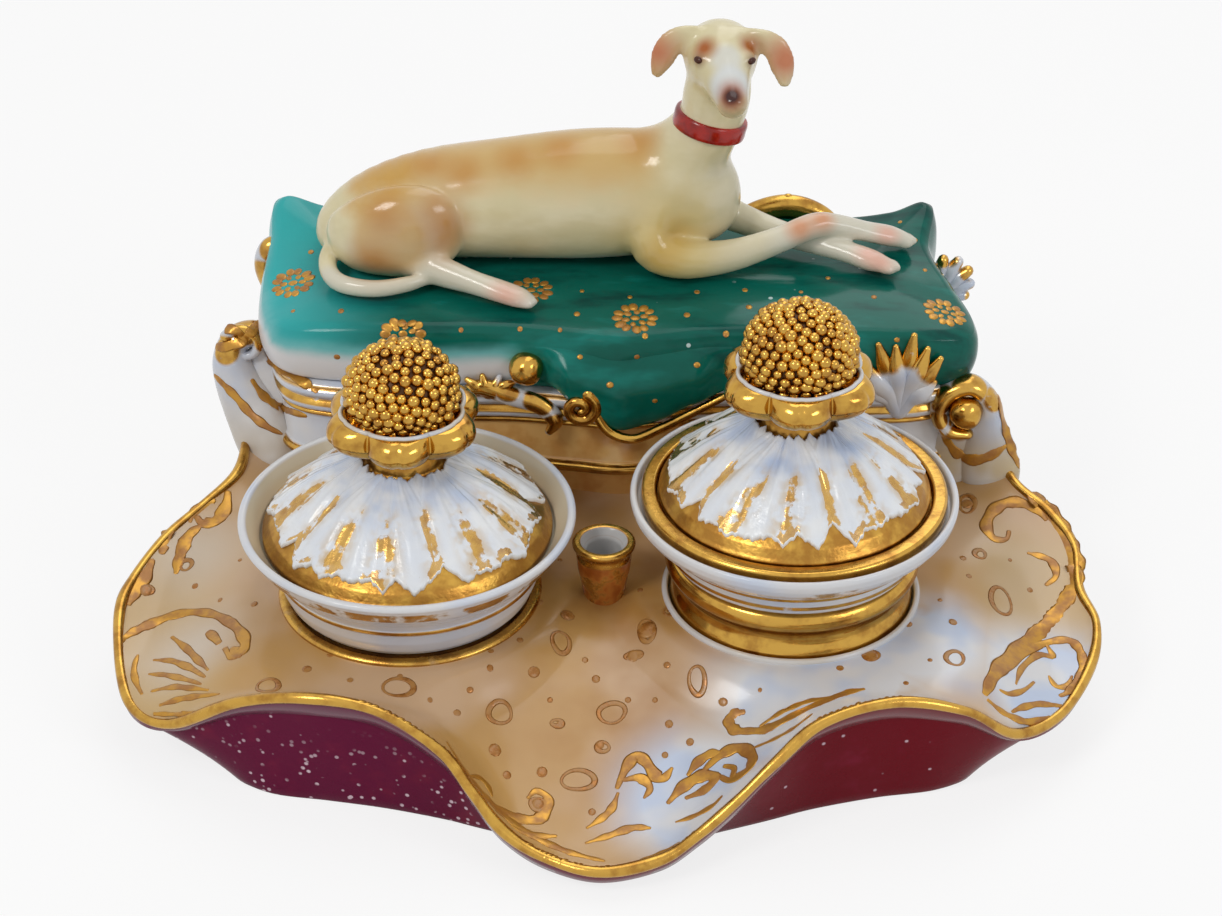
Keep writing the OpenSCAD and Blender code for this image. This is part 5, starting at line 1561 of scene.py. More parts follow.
def dog_skin():
    s = Skin((-80, 34, 76), (82, 84, 150), 0.62)
    # trunk, from the rump to the chest
    s.limb([[-72, 65, 84.5, 2, 2.4], [-69, 65.5, 86.4, 8.2, 8], [-60, 67.4, 89.6, 12.4, 11.8],
            [-46, 68.4, 92.4, 14.2, 14.2], [-28, 68, 94.2, 14.4, 15.8], [-8, 68.4, 95.4, 15, 17.2],
            [8, 68.8, 96, 14.2, 16.8], [18, 68, 96.4, 12, 15.4], [24.4, 67, 97, 8.8, 12.2],
            [27.2, 66.5, 98, 3, 6]], 1.0, 34)
    # neck, skull, muzzle, jaw, nose and brows
    s.limb([[11.4, 68.5, 98, 11.2, 12], [17, 67.5, 106, 10, 10.4], [22.4, 65.9, 113.6, 9, 8.9],
            [25.2, 64.9, 120, 8.3, 8.3], [26.5, 64.3, 127, 8.5, 8.2], [27, 64.8, 133, 7.4, 7]], 4.0, 22, (0, 1, 0))
    s.ball((27.0, 66.2, 136.9), (9.2, 9.4, 8.1), 2.5)
    s.limb([[27.4, 61, 136.6, 8.0, 7.2], [28.4, 55.6, 134.8, 6.1, 5.6], [29.4, 51, 133, 4.6, 4.4],
            [30.0, 47.8, 131.9, 3.9, 3.6]], 3.0, 16)
    s.limb([[28.2, 57.6, 131.2, 4.4, 3.0], [29.4, 52, 129.8, 3.2, 2.2], [30, 48.6, 129.4, 2.4, 1.6]], 2.0, 12)
    s.ball((30.4, 45.9, 132.7), (2.5, 1.9, 1.9), 0.8)
    for dx in (-5.2, 5.2):
        s.ball((28 + dx, 57.6, 139.4), (2.4, 2.2, 1.6), 1.6)
    # ears
    s.limb([[22.5, 65, 141.2, 3, 1.8], [18, 63.6, 142.2, 3.2, 1.5], [14.4, 63, 140.2, 3.5, 1.35],
            [12.3, 62.5, 136, 3.0, 1.3], [11.2, 62.3, 132.6, 1.5, 1]], 1.6, 18, (0, 1, 0))
    s.limb([[32.5, 65, 141, 3, 1.8], [37.4, 63, 141.6, 3.2, 1.5], [41, 62, 139.4, 3.5, 1.35],
            [42.6, 61, 135, 3.1, 1.3], [43.2, 60.4, 131, 1.5, 1]], 1.6, 18, (0, 1, 0))
    # near and far foreleg, with three toes each
    s.limb([[12, 60, 94, 5.4, 6.6], [10.6, 56.6, 87, 5.6, 6.2], [18, 55, 83.8, 5, 5.2], [30, 56.6, 83.9, 4, 4.3],
            [42, 60, 86.4, 3.2, 3.6], [52, 63.8, 89.0, 3.3, 3.4], [58, 65.6, 88.2, 3.0, 3.0],
            [66, 67.6, 85.4, 3.1, 2.6], [72.6, 69.2, 83.2, 3.5, 2.6], [77, 70, 81.8, 2, 1.6]], 2.2, 34)
    s.limb([[26, 74, 89, 4.4, 4.8], [38, 72, 84.6, 3.3, 3.8], [50, 67, 83, 3.0, 3], [60, 62.5, 82.4, 3.0, 2.7],
            [67, 59.5, 81.4, 3.5, 2.6], [72, 57.6, 80.6, 2, 1.6]], 1.6, 24)
    for c in ((77.2, 71.8, 81.4), (78.0, 70.0, 81.4), (76.6, 68.2, 81.4), (72.6, 59.2, 80.4), (73.0, 57.4, 80.4),
              (71.2, 56.0, 80.4)):
        s.ball(c, (1.9, 1.05, 1.3), 0.7)
    # haunch, near hind foot with its toes, far hind foot and tail
    s.limb([[-69.6, 58.2, 86.4, 3, 5.4], [-66, 56.8, 88.2, 6.0, 9.2], [-57.4, 55.9, 90.2, 7.6, 12.2],
            [-48.8, 55.4, 91.6, 7.2, 12.2], [-42.8, 55.6, 92.6, 4.8, 9.2], [-40, 56.2, 92.8, 2, 4]], 0.7, 26)
    s.limb([[-50, 52.6, 83.6, 3.8, 4.4], [-43, 48.8, 82.9, 3.6, 4.0], [-35, 45, 82, 3.0, 3.1],
            [-28, 42.4, 81, 3.4, 2.7], [-23, 40.8, 80.1, 3.2, 2.4], [-20.8, 40.1, 79.7, 1.6, 1.4]], 1.6, 20)
    for c in ((-20.6, 41.6, 79.5), (-20.0, 40.0, 79.4), (-21.0, 38.6, 79.3)):
        s.ball(c, (1.8, 1.0, 1.2), 0.6)
    s.limb([[-62, 74, 84, 4, 3.6], [-70, 73.5, 84.3, 3, 2.6], [-75.5, 73, 84.2, 1.2, 1.2]], 1.5, 12)
    s.limb([[-70, 63, 86, 2.6, 2.6], [-73.2, 55, 82.4, 2.4, 2.6], [-70, 47.4, 80.6, 2.3, 2.5],
            [-61, 44.2, 80.4, 2.1, 2.3], [-52, 46, 80.8, 1.9, 2.1], [-45, 49.6, 81.4, 1.2, 1.4]], 1.0, 22)
    return s.surface(3)


def dog_paint(at):
    """Cream coat washed with tan, white on the legs, muzzle and belly, and a faint painted highlight on the chest and
    neck front; places come from the photograph.
    """
    p = glaze("coat_glaze")
    x, y, z = p.xyz()
    soft = p.noise(14.0, 3.0, 0.55, (1.0, 1.0, 1.6))
    sway = (soft - 0.5) * 10.0
    col = p.blend(chosen("coat"), ink(226, 216, 180), soft.ramp(0.35, 0.72))
    top = (z + sway).ramp(98.0, 109.0) * x.ramp(16.0, 6.0) + (z + sway).ramp(95.0, 101.0) * x.ramp(-44.0, -58.0)
    tan = ink(192, 136, 60)
    col = p.blend(col, ink(200, 156, 78), (top * 0.75).held())

    def dab(places, reach, colour, share):
        nonlocal col
        for q in places:
            m = p.near(*map(float, q), reach)
            col = p.blend(col, colour, (m * (0.7 + soft * 0.6)).held() * share)

    white = (z + sway * 0.5).ramp(84.5, 79.5) * x.ramp(12.0, 6.0) * x.ramp(-52.0, -40.0)
    white = white.high(x.ramp(30.0, 48.0) * z.ramp(98.0, 93.0) * 0.85)
    white = white.high(y.ramp(52.0, 48.0) * x.ramp(-10.0, -16.0) * 0.75)
    # faint painted highlight on the chest and the front of the neck
    white = white.high((z + sway).ramp(112.0, 107.0) * (x + sway).ramp(22.0, 28.0) * 0.35)
    col = p.blend(col, ink(214, 210, 196), white)
    dab(at["back"], 9.0, tan, 0.75)
    dab(at["shoulder"], 8.0, tan, 0.8)
    dab(at["shoulder"], 22.0, ink(206, 178, 96), 0.5)
    col = p.blend(col, ink(206, 164, 92), p.near(-56.0, 50.0, 92.0, 15.0).ramp(0.02, 0.5) * 0.7)
    dab(at["thigh"], 10.0, ink(184, 124, 58), 0.65)
    dab(at["wrist"], 6.0, ink(214, 140, 92), 0.8)
    dab(at["paws"], 6.0, ink(226, 170, 150), 0.8)
    dab(at["foot"], 8.0, ink(226, 172, 152), 0.8)
    muzzle = p.near(29.3, 50.5, 135.2, 8.2)
    col = p.blend(col, ink(216, 220, 222), muzzle.ramp(0.1, 0.6) * 0.85)
    col = p.blend(col, ink(214, 218, 220), p.near(28.2, 55.5, 139.5, 7.0).ramp(0.1, 0.7) * 0.6)
    dab(at["ears"], 9.5, ink(196, 118, 80), 0.95)
    dab(at["brows"], 5.2, ink(166, 90, 30), 1.1)
    dab(at["nose"], 6.6, ink(164, 84, 40), 1.2)
    dab(at["nose"], 3.7, ink(58, 18, 12), 1.4)
    dab(at["eyes"], 3.0, ink(120, 62, 30), 0.7)
    p.put("Base Color", col)
    p.put("Roughness", 0.13 + soft * 0.08)
    p.relief(soft + p.noise(4.0, 1.0) * 0.15, 0.25)
    return p.mat


DOG_PLACES_PX = {"back": BACK_PATCHES_PX, "shoulder": SHOULDER_PATCHES_PX, "thigh": THIGH_RING_PX, "wrist": WRIST_PX,
                 "paws": PAWS_PX, "foot": HIND_FOOT_PX, "ears": EAR_TIPS_PX, "brows": BROWS_PX, "nose": NOSE_PX,
                 "eyes": EYES_PX}


def greyhound():
    nodes = ["dog_body", "dog_neck", "dog_head", "dog_left_ear", "dog_right_ear", "dog_near_foreleg",
             "dog_far_foreleg", "dog_haunch", "dog_near_hind_foot", "dog_far_hind_foot", "dog_tail"]
    ob = piece("greyhound", *dog_skin(), [], "base", nodes, "fawn_enamel")
    skin = Target(ob)
    at = {key: [hit[0] for hit in (skin.at_pixel(*q) for q in places) if hit is not None]
          for key, places in DOG_PLACES_PX.items()}
    ob.data.materials.append(dog_paint(at))
    return skin


def greyhound_eyes(skin):
    """Two flat dark ovals that lie on the skin."""
    p = Paint("eye_glaze", Roughness=0.22, Specular_IOR_Level=0.3)
    p.put("Base Color", p.blend(ink(84, 38, 18), ink(48, 20, 10), p.noise(0.8)))
    eyes = []
    for place in EYES_PX:
        hit = skin.at_pixel(*place)
        if hit is None:
            raise RuntimeError("an eye misses the dog's head")
        centre, out = hit
        across_eye = unit(np.cross(out, [0, 0, 1.0]))
        eyes.append(oval(centre, 1.25 * across_eye, 0.9 * np.cross(across_eye, out), 0.6 * out, 20, 12, 6))
    piece("greyhound_eyes", *joined(eyes), p.mat, "base", slot="fawn_enamel")


def collar_paint():
    p = glaze("red_enamel")
    wash = p.noise(6.0, 3.0)
    p.put("Base Color", p.blend(chosen("collar"), ink(120, 14, 12), wash.ramp(0.45, 0.7)))
    p.relief(wash, 0.12)
    return p.mat


def red_collar():
    """Band round the neck, tipped back a little and leaned to the dog's left."""
    back, lean = np.radians([-4, 14])
    tip = np.array([[1, 0, 0], [0, math.cos(back), -math.sin(back)], [0, math.sin(back), math.cos(back)]])
    tilt = np.array([[math.cos(lean), 0, math.sin(lean)], [0, 1, 0], [-math.sin(lean), 0, math.cos(lean)]])
    prof = [(7.4, -2.2), (9.0, -2.3), (9.35, -2.0), (9.5, -1.2), (9.45, 0), (9.5, 1.2), (9.35, 2.0), (9.0, 2.3),
            (7.4, 2.2)]
    w = angles(96)
    rings = [np.column_stack([r * np.cos(w), r * np.sin(w), np.full(96, z)]) @ (tilt @ tip).T + [24.8, 65, 118]
             for r, z in prof]
    piece("red_collar", *torus_like(rings), made_once("red", collar_paint), "base", ["dog_collar"], "red_enamel",
          sharp=70)


# Stage


def aimed(name, data, where, direction):
    """Camera or lamp at a place in metres, facing along a direction."""
    ob = linked(name, data)
    ob.location = where
    ob.rotation_mode = "QUATERNION"
    ob.rotation_quaternion = Vector(direction).to_track_quat("-Z", "Y")
    return ob


def photo_camera():
    data = bpy.data.cameras.new("camera")
    data.sensor_width = SENSOR
    data.lens = SENSOR / 2 / (PHOTO_W / 2 / FOCAL_PX)
    data.clip_start, data.clip_end = 0.05, 20
    bpy.context.scene.camera = aimed("camera", data, EYE * MM, -BACK)


def lamp(name, where, aim, size, power, tint=(1, 1, 1)):
    data = bpy.data.lights.new(name, "AREA")
    data.shape = "RECTANGLE"
    data.size, data.size_y = size
    data.energy = power
    data.color = tint
    aimed(name, data, where, Vector(aim) - Vector(where))


def seen_share(nodes):
    """1 for the rays that show the backdrop: from the camera, and off or through the glaze."""
    path = nodes.node("ShaderNodeLightPath")
    camera, glossy, through = (Wire(nodes, path.outputs[key])
                               for key in ("Is Camera Ray", "Is Glossy Ray", "Is Transmission Ray"))
    return camera.high(glossy).high(through)


def white_world():
    """White backdrop that gives the piece only part of its own light."""
    world = bpy.data.worlds.new("studio")
    world.use_nodes = True
    bpy.context.scene.world = world
    nodes = Nodes(world.node_tree)
    strength = nodes.node("ShaderNodeMapRange", None, {"Value": seen_share(nodes), "To Min": 0.42, "To Max": 1.0})
    back = world.node_tree.nodes["Background"]
    back.inputs["Color"].default_value = (1, 1, 1, 1)
    world.node_tree.links.new(strength.outputs[0], back.inputs["Strength"])


def white_floor():
    """Sheet of white card that glows in the camera's view, so that its edge can't be seen."""
    p = Paint("floor", Roughness=0.7)
    p.put("Base Color", p.blend((0.86, 0.86, 0.86, 1), (0.88, 0.88, 0.88, 1), p.noise(90.0)))
    glow = p.node("ShaderNodeEmission", None, {"Color": (1, 1, 1, 1), "Strength": 1.0})
    mix = p.node("ShaderNodeMixShader", None, {0: seen_share(p) * 0.8, 1: p.shader.outputs[0], 2: glow.outputs[0]})
    p.tree.links.new(mix.outputs[0], p.tree.nodes["Material Output"].inputs["Surface"])
    bpy.ops.mesh.primitive_plane_add(size=6, location=(0, 1.0, -0.0003))
    floor = bpy.context.object
    floor.name = "floor"
    floor.data.materials.append(p.mat)


def stage():
    photo_camera()
    lamp("key", (-0.75, -0.75, 1.15), (0, 0, 0.05), (0.42, 0.42), 6.7, (1.0, 0.985, 0.96))
    lamp("fill", (0.95, -0.7, 0.75), (0, 0, 0.05), (0.5, 0.36), 3.2, (0.94, 0.97, 1.0))
    lamp("top", (0.15, 0.55, 1.1), (0, 0.02, 0.05), (0.6, 1.3), 3.9)
    white_world()
    bpy.context.scene.view_settings.view_transform = "Standard"
    white_floor()


# Carried-over solid pieces that keep their shape


def carried_over():
    """The closing slab keeps its solid and gets an unglazed, slightly soiled foot."""
    p = Paint("foot_ring", Roughness=0.55)
    speck = p.noise(3.0, 4.0, 0.65)
    p.put("Base Color", p.blend(ink(222, 218, 208), ink(176, 164, 146), speck.ramp(0.5, 0.8)))
    p.put("Roughness", 0.5 + speck * 0.25)
    p.relief(p.noise(1.2, 3.0), 0.08)
    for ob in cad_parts.values():
        if not ob.hide_render:
            ob.data.materials.clear()
            ob.data.materials.append(p.mat)


# Painted marks. Every place is a pixel of the photograph, followed by a width in pixels where it varies.

PX_PER_MM = 4.05
LIFT = 0.02  # how far a mark's middle line lies above the surface, in millimetres
STROKE_STEP = 0.7  # distance between the points of a stroke
STROKE_LEAP, STROKE_CLOSE = 6, 0.12  # a longer gap ends the stroke, and a shorter one is left out

LEFT_LOBE_SCROLL_PX = (
    (121, 640, 5), (133, 632, 7), (146, 626, 9), (171, 616, 9), (196, 612, 8), (218, 616, 8), (236, 627, 9),
    (245, 641, 10), (241, 653, 8), (231, 657, 6), (225, 648, 4),
)
LEFT_LOBE_BULBS_PX = (((208, 632, 5), (214, 637, 9), (219, 643, 5)), ((232, 648, 5), (237, 652, 10), (239, 657, 5)))
LEFT_FAN_PX = (
    ((172, 637, 3), (186, 648, 6), (198, 660, 6), (208, 670, 2)),
    ((154, 660, 3), (172, 661, 6), (190, 668, 6), (205, 677, 2)),
    ((149, 674, 3), (166, 675, 6), (184, 679, 5), (201, 684, 2)),
    ((152, 691, 3), (172, 687, 6), (190, 688, 5), (208, 690, 2)),
    ((160, 705, 3), (180, 699, 6), (200, 696, 5), (219, 694, 2)),
    ((154, 714, 3), (182, 714, 4), (212, 712, 4), (250, 704, 2)),
    ((138, 655, 2), (134, 668, 5), (136, 682, 5), (142, 694, 2)),
)
LEFT_RIM_BANDS_PX = (
    ((240, 436, 4), (234, 452, 8), (224, 470, 10), (207, 487, 9), (184, 504, 9), (169, 530, 8),
     (162, 553, 4)),
    ((228, 492, 3), (226, 506, 7), (217, 520, 8), (203, 523, 6), (197, 517, 3)),
    ((200, 526, 3), (188, 537, 7), (180, 556, 7), (176, 573, 3)),
    ((214, 500, 3), (204, 505, 6), (194, 513, 5), (190, 522, 2)),
    ((152, 560, 3), (146, 575, 7), (136, 590, 7), (128, 604, 4)),
)
RIGHT_LOBE_BAND_PX = (
    ((1010, 452, 4), (1017, 468, 7), (1026, 486, 9), (1040, 503, 9), (1056, 520, 9), (1068, 542, 9),
     (1075, 563, 10), (1073, 585, 10), (1060, 608, 9), (1042, 629, 9), (1017, 651, 9), (996, 672, 8),
     (985, 694, 4)),
)
RIGHT_CURLS_PX = (
    ((1046, 520, 3), (1036, 509, 8), (1021, 503, 10), (1006, 503, 11), (993, 511, 11), (986, 525, 10),
     (993, 538, 8), (1006, 539, 5), (1009, 531, 3)),
    ((1028, 553, 3), (1040, 556, 6), (1052, 562, 7), (1056, 576, 6), (1046, 585, 3)),
    ((985, 690, 3), (1006, 669, 6), (1035, 647, 7), (1066, 640, 7), (1080, 651, 7), (1082, 671, 7),
     (1070, 690, 6), (1060, 696, 3)),
    ((1046, 644, 3), (1052, 656, 6), (1038, 655, 6), (1022, 668, 5), (1016, 684, 2)),
    ((1049, 676, 2), (1056, 686, 6), (1067, 686, 6), (1072, 676, 2)),
    ((1012, 712, 2), (1021, 708, 5), (1039, 704, 6), (1062, 706, 3)),
    ((988, 700, 3), (1006, 714, 6), (1030, 722, 6), (1056, 716, 4)),
    ((1000, 690, 2), (1010, 694, 5), (1024, 690, 4), (1034, 682, 2)),
)
LOWER_RIGHT_SCROLL_PX = (
    ((744, 712, 4), (734, 714, 9), (729, 722, 9), (735, 730, 9), (748, 731, 6), (766, 729, 9), (790, 717, 9),
     (817, 704, 8), (846, 693, 7), (864, 689, 3)),
    ((760, 726, 2), (782, 712, 5), (806, 702, 5), (836, 696, 2)),
)
FRONT_LEFT_PX = (
    ((496, 806, 3), (508, 813, 7), (522, 819, 10), (538, 819, 10), (547, 809, 9), (547, 797, 7),
     (536, 791, 5), (528, 798, 3)),
    ((447, 742, 2), (462, 766, 5), (480, 790, 6), (502, 813, 7), (530, 834, 7), (566, 851, 6), (604, 861, 3)),
    ((512, 826, 2), (524, 832, 6), (540, 836, 7), (556, 836, 3)),
    ((470, 776, 2), (480, 778, 5), (488, 786, 5), (492, 796, 2)),
)
FRONT_LEAVES_PX = (
    ((617, 788, 3), (626, 768, 8), (636, 756, 9), (646, 762, 9), (656, 776, 10), (664, 778, 7),
     (672, 768, 3)),
    ((624, 780, 3), (640, 778, 8), (650, 788, 6), (644, 798, 2)),
    ((618, 793, 2), (612, 808, 6), (602, 818, 6), (587, 828, 2)),
    ((668, 803, 3), (684, 786, 10), (702, 776, 11), (715, 778, 9), (704, 790, 8), (686, 798, 3)),
    ((688, 775, 3), (698, 762, 8), (710, 754, 8), (720, 752, 3)),
    ((704, 770, 3), (722, 754, 9), (740, 748, 10), (752, 756, 10), (748, 769, 9), (730, 780, 7),
     (720, 776, 3)),
    ((724, 766, 3), (734, 768, 6), (732, 777, 4)),
    ((753, 748, 2), (772, 740, 4), (792, 729, 5), (812, 714, 2)),
    ((586, 843, 2), (608, 836, 6), (632, 828, 7), (650, 828, 3)),
    ((640, 860, 2), (668, 850, 5), (700, 832, 5), (726, 812, 2)),
    ((676, 822, 2), (694, 816, 5), (712, 806, 5), (722, 796, 2)),
)
# centre, radius across and radius along in pixels
TRAY_RINGS_PX = (
    (186, 565, 6, 5), (146, 590, 6, 4), (302, 629, 6, 4), (561, 642, 9, 10), (568, 615, 5, 3),
    (500, 713, 12, 10), (612, 713, 13, 9), (633, 656, 8, 3), (669, 611, 5, 4), (697, 680, 8, 14),
    (797, 663, 13, 8), (1001, 601, 12, 12), (955, 658, 9, 6), (967, 504, 8, 9), (578, 780, 15, 9),
    (557, 723, 5, 3), (647, 630, 8, 10), (603, 747, 6, 4), (980, 554, 6, 4), (871, 656, 7, 4),
    (398, 687, 14, 8), (268, 686, 10, 6), (538, 804, 7, 5),
)
TRAY_DOTS_PX = (
    (307, 669, 5), (400, 676, 4), (534, 672, 5), (596, 679, 4), (491, 651, 4), (457, 713, 5), (559, 724, 3),
    (539, 602, 4), (667, 665, 4), (669, 724, 5), (713, 645, 4), (908, 624, 5), (963, 558, 4), (969, 576, 4),
    (953, 622, 4), (906, 683, 4), (600, 745, 4), (495, 750, 6), (507, 775, 5), (542, 772, 5), (592, 812, 4),
    (723, 702, 4), (490, 668, 3), (254, 604, 4), (195, 586, 4), (605, 592, 5), (628, 700, 3), (585, 660, 3),
    (655, 700, 3), (520, 640, 3), (690, 742, 4), (760, 690, 3), (840, 668, 4), (880, 700, 3), (930, 660, 3),
    (1010, 560, 3), (1030, 590, 3), (640, 590, 3), (560, 560, 3), (470, 690, 3), (430, 700, 3), (350, 680, 3),
    (330, 655, 3), (220, 600, 3), (240, 560, 3), (550, 700, 3), (665, 755, 3), (940, 600, 3),
)
FLOWERS_PX = ((293, 283), (403, 334), (531, 290), (635, 318), (945, 312))
CUSHION_DOTS_PX = (
    (311, 252), (293, 311), (341, 311), (337, 357), (461, 330), (520, 329), (582, 291), (577, 314),
    (580, 357), (630, 297), (697, 292), (687, 315), (645, 336), (637, 357), (697, 365), (655, 401),
    (749, 307), (801, 292), (874, 297), (897, 340), (900, 222), (828, 278), (726, 334), (610, 385),
    (560, 330), (925, 270), (870, 205), (350, 230), (745, 290), (915, 240),
)
LEFT_SCROLL_LINES_PX = (
    ((212, 345, 3), (224, 347, 8), (238, 342, 11), (247, 337, 10), (255, 327, 7), (261, 317, 3)),
    ((266, 344, 3), (270, 356, 8), (280, 367, 10), (294, 376, 9), (308, 385, 8), (317, 391, 4)),
    ((212, 350, 3), (213, 338, 7), (226, 329, 8), (240, 333, 7), (243, 344, 6), (234, 350, 3)),
    ((211, 372, 3), (222, 383, 6), (236, 397, 7), (250, 413, 7), (266, 426, 6), (282, 434, 2)),
    ((252, 380, 3), (264, 396, 7), (282, 408, 8), (306, 416, 4)),
)
RIGHT_SCROLL_LINES_PX = (
    ((984, 340, 3), (990, 362, 6), (998, 392, 7), (1004, 424, 8), (1013, 452, 8), (1024, 474, 4)),
    ((950, 425, 3), (952, 405, 8), (962, 392, 9), (976, 390, 7), (986, 400, 3)),
    ((940, 431, 3), (948, 442, 7), (958, 454, 9), (972, 460, 10), (990, 456, 9), (1006, 446, 4)),
)


def mark_paint():
    """Brown-gold hand gilding, thin in places."""
    p = Paint("painted_gilt", IOR=1.5)
    worn = p.noise(4.5, 3.0, 0.6)
    p.put("Base Color", p.blend(ink(190, 140, 56), ink(158, 104, 40), worn.ramp(0.38, 0.66)))
    p.put("Metallic", 0.2 + worn.ramp(0.6, 0.4) * 0.45)
    p.put("Roughness", 0.22 + worn * 0.2)
    p.relief(p.noise(1.2, 2.0), 0.05)
    return p.mat


def brown_paint():
    """Thin brown wash that the small rings and dots of the tray are drawn in."""
    p = glaze("brown_wash")
    worn = p.noise(3.0, 3.0, 0.6)
    p.put("Base Color", p.blend(ink(160, 104, 44), ink(172, 124, 66), worn.ramp(0.35, 0.65)))
    p.put("Metallic", worn.ramp(0.5, 0.35) * 0.4)
    p.put("Roughness", 0.2 + worn * 0.15)
    return p.mat


def present(items):
    return [item for item in items if item is not None]


def brush_line(target, marks, height):
    """One flattened stroke laid on a surface through pixels of the photograph."""
    ctrl = np.asarray(marks, float)
    length = np.linalg.norm(np.diff(ctrl[:, :2], axis=0), axis=1).sum() / PX_PER_MM
    n = max(int(length / STROKE_STEP) + 3, 6)
    wobble = 1 + 0.16 * np.sin(np.arange(n) * 0.9 + ctrl[0, 0])
    rows, ups = [], []
    for (x, y, w), k in zip(path_points(ctrl, n), wobble):
        hit = target.at_pixel(x, y)
        if hit is None:
            continue
        c, normal = hit
        gap = np.linalg.norm(c - rows[-1][:3]) if rows else STROKE_STEP
        if gap > STROKE_LEAP:
            break
        if gap < STROKE_CLOSE:
            continue
        rows.append(np.array([*(c + LIFT * normal), max(w * k * 1.35, 2.4) / 2 / PX_PER_MM, height]))
        ups.append(normal)
    return tube(np.array(rows), 8, np.array(ups), 2) if len(rows) > 3 else None


def rightward(normal):
    """Direction in a surface that points to the right in the photograph."""
    return unit(RIGHT - normal * (RIGHT @ normal))


def ring_line(target, mark, height, seed):
    """Small hand-drawn ring on a surface."""
    x, y, rx, ry = mark
    hit = target.at_pixel(x, y)
    if hit is None:
        return None
    c, normal = hit
    a = rightward(normal)
    b = np.cross(normal, a)
    fore = max(abs(b @ UP), 0.35)
    n = 40
    rows, ups = [], []
    for i in range(n):
        w = 2 * math.pi * i / n
        wob = 1 + 0.06 * math.sin(2 * w + seed) + 0.03 * math.sin(3 * w + 2 * seed)
        q = c + wob * (rx / PX_PER_MM * math.cos(w) * a + ry / PX_PER_MM / fore * math.sin(w) * b)
        s, m = target.nearest(q, normal)
        rows.append([*(s + LIFT * m), 0.6 * (1 + 0.35 * math.sin(w + seed))])
        ups.append(m)
    p = np.array(rows)
    return loop_rod(p[:, :3], np.array(ups), p[:, 3:], height, 6)


def dab_points(target, marks):
    """Points, facings and sizes of round dabs at pixels of the photograph."""
    pts, face, size = [], [], []
    for m in marks:
        hit = target.at_pixel(m[0], m[1])
        if hit is None:
            continue
        pts.append(hit[0])
        face.append(hit[1])
        size.append(m[2] if len(m) > 2 else 1.0)
    return np.array(pts), np.array(face), np.array(size)


def dabs(name, target, marks, radius, flat, material, seed, jitter=0.15):
    pts, face, size = dab_points(target, marks)
    mesh = point_mesh(name, pts, facing=face, along=across(face), size=size)
    out = scattered(name, mesh, Radius=radius, Flatness=flat, Length=1.15, Jitter=jitter, Seed=seed,
                    Material=material)
    settle(name, out, "base")


def tray_marks():
    top = Target(bpy.data.objects["tray_top"])
    height = sizes().mark_height / MM
    gilt = made_once("marks", mark_paint)
    broad = [[(x, y, 1.5 * w) for x, y, w in s] for s in (*LEFT_RIM_BANDS_PX, *RIGHT_LOBE_BAND_PX)]
    strokes = [LEFT_LOBE_SCROLL_PX, *LEFT_LOBE_BULBS_PX, *LEFT_FAN_PX, *broad, *RIGHT_CURLS_PX,
               *LOWER_RIGHT_SCROLL_PX, *FRONT_LEFT_PX, *FRONT_LEAVES_PX]
    made = present(brush_line(top, s, height) for s in strokes)
    piece("tray_gilt_scrolls", *joined(made), gilt, "base", slot="gilt")
    brown = made_once("brown", brown_paint)
    rings = present(ring_line(top, r, height * 0.7, i) for i, r in enumerate(TRAY_RINGS_PX))
    piece("tray_rings", *joined(rings), brown, "base", slot="gilt")
    dots = [(x, y, r / 4) for x, y, r in TRAY_DOTS_PX] + [(x, y, rx / 4) for x, y, rx, _ in TRAY_RINGS_PX[1::3]]
    dabs("tray_dots", top, dots, 0.95 * MM, 0.16, brown, 9, 0.25)
    lines = []
    for bracket, places in (("left_scroll", LEFT_SCROLL_LINES_PX), ("right_scroll", RIGHT_SCROLL_LINES_PX)):
        target = Target(*(bpy.data.objects[name] for name in (bracket, "plinth_block", "tray_top")))
        lines += present(brush_line(target, s, height * 1.2) for s in places)
    piece("scroll_gilt_lines", *joined(lines), gilt, "base", slot="gilt")


def cushion_marks():
    cloth = Target(bpy.data.objects["cushion_top"], bpy.data.objects["hanging_cloth"])
    gilt = made_once("marks", mark_paint)
    pts, face, along, size = [], [], [], []
    for i, (x, y) in enumerate(FLOWERS_PX):
        hit = cloth.at_pixel(x, y)
        if hit is None:
            raise RuntimeError("a flower misses the cushion")
        c, normal = hit
        a = rightward(normal)
        b = np.cross(normal, a)
        for k in range(6):
            w = 2 * math.pi * (k + 0.3 * (i % 2)) / 6
            d = math.cos(w) * a + math.sin(w) * b
            for r, s, turns in ((2.5, 0.9, (0,)), (4.5, 1.3, (-0.3025, 0.3025))):
                for turn in turns:
                    e = math.cos(turn) * d + math.sin(turn) * np.cross(normal, d)
                    q, m = cloth.nearest(c + r * e, normal)
                    pts.append(q)
                    face.append(m)
                    along.append(e)
                    size.append(s)
        pts.append(c)
        face.append(normal)
        along.append(a)
        size.append(1.1)
    mesh = point_mesh("flowers", np.array(pts), facing=np.array(face), along=np.array(along), size=np.array(size))
    out = scattered("flowers", mesh, Radius=0.92 * MM, Flatness=0.2, Length=1.25, Jitter=0.12, Seed=4,
                    Material=gilt)
    settle("cushion_flowers", out, "base")
    dabs("cushion_dots", cloth, CUSHION_DOTS_PX, sizes().dot, 0.24, gilt, 12, 0.2)


# Add-on


class InkstandStep(bpy.types.Operator):
    """Shared part of the operators that build the inkstand's pieces"""
    bl_idname = "inkstand.step"
    bl_label = "Inkstand step"
    bl_options = {"REGISTER", "UNDO"}

    def execute(self, context):
        self.build()
        return {"FINISHED"}

    def build(self):
        raise RuntimeError("this step has nothing to build")


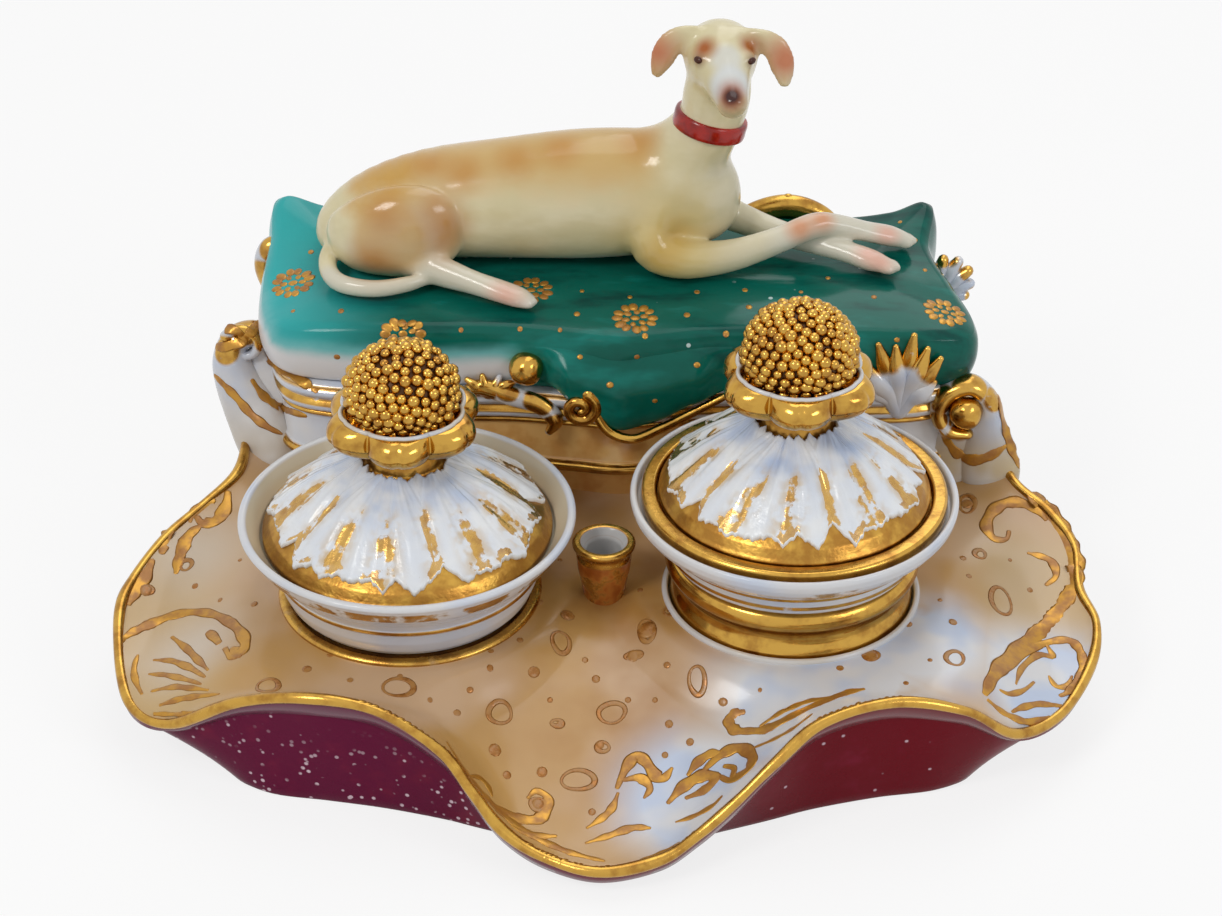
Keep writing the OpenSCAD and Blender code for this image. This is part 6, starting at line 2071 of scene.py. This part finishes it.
class InkstandTray(InkstandStep):
    """Tray top, outer wall and the gilt bead on the wavy rim"""
    bl_idname = "inkstand.tray"
    bl_label = "Tray"

    def build(self):
        tray_top()
        body_wall()
        rim_bead()


class InkstandPots(InkstandStep):
    """Both pots, the ink well, the sockets and the quill cup"""
    bl_idname = "inkstand.pots"
    bl_label = "Pots and cup"

    def build(self):
        pots()


class InkstandLids(InkstandStep):
    """Both lids with their leaf rosettes, petal cups and berry knobs"""
    bl_idname = "inkstand.lids"
    bl_label = "Lids"

    def build(self):
        lid("left", LEFT_AXIS, LEFT_LID_Z, LEFT_LID_R, "left_lid", 7)
        lid("right", RIGHT_AXIS, RIGHT_LID_Z, RIGHT_LID_R, "right_lid", 11)


class InkstandPlinth(InkstandStep):
    """Plinth with its mouldings, the cushion and the hanging cloth"""
    bl_idname = "inkstand.plinth"
    bl_label = "Plinth and cushion"

    def build(self):
        plinth_block()
        soft_cushion()
        hanging_cloth()


class InkstandScrolls(InkstandStep):
    """Scrolls, shells and leaves round the plinth"""
    bl_idname = "inkstand.scrolls"
    bl_label = "Scroll work"

    def build(self):
        scrolls()


class InkstandDog(InkstandStep):
    """Reclining greyhound with its collar"""
    bl_idname = "inkstand.dog"
    bl_label = "Greyhound"

    def build(self):
        skin = greyhound()
        greyhound_eyes(skin)
        red_collar()


class InkstandGilding(InkstandStep):
    """Painted gilding on the tray and the gilt flowers and dots of the cushion"""
    bl_idname = "inkstand.gilding"
    bl_label = "Painted gilding"

    def build(self):
        tray_marks()
        cushion_marks()


class InkstandSolids(InkstandStep):
    """Finish of the solid pieces that are shown as they are"""
    bl_idname = "inkstand.solids"
    bl_label = "Solid pieces"

    def build(self):
        carried_over()


class InkstandStage(InkstandStep):
    """Camera, lamps, backdrop and floor"""
    bl_idname = "inkstand.stage"
    bl_label = "Stage"

    def build(self):
        stage()


STEPS = (InkstandTray, InkstandPots, InkstandLids, InkstandPlinth, InkstandScrolls, InkstandDog, InkstandGilding,
         InkstandSolids, InkstandStage)


class InkstandPanel(bpy.types.Panel):
    """Sizes, colours and steps of the inkstand"""
    bl_idname = "VIEW3D_PT_inkstand"
    bl_label = "Inkstand"
    bl_space_type = "VIEW_3D"
    bl_region_type = "UI"
    bl_category = "Inkstand"

    def draw(self, context):
        for group in (context.scene.inkstand_sizes, context.scene.inkstand_colours):
            for key in group.bl_rna.properties.keys():
                if key not in {"rna_type", "name"}:
                    self.layout.prop(group, key)
        for step in STEPS:
            self.layout.operator(step.bl_idname)


CLASSES = (InkstandSizes, InkstandColours) + STEPS + (InkstandPanel,)


def register():
    for c in CLASSES:
        bpy.utils.register_class(c)
    bpy.types.Scene.inkstand_sizes = bpy.props.PointerProperty(type=InkstandSizes)
    bpy.types.Scene.inkstand_colours = bpy.props.PointerProperty(type=InkstandColours)


def unregister():
    del bpy.types.Scene.inkstand_colours
    del bpy.types.Scene.inkstand_sizes
    for c in reversed(CLASSES):
        bpy.utils.unregister_class(c)


def main():
    register()
    bpy.ops.inkstand.tray()
    bpy.ops.inkstand.pots()
    bpy.ops.inkstand.lids()
    bpy.ops.inkstand.plinth()
    bpy.ops.inkstand.scrolls()
    bpy.ops.inkstand.dog()
    bpy.ops.inkstand.gilding()
    bpy.ops.inkstand.solids()
    bpy.ops.inkstand.stage()


if __name__ == "__main__":
    main()
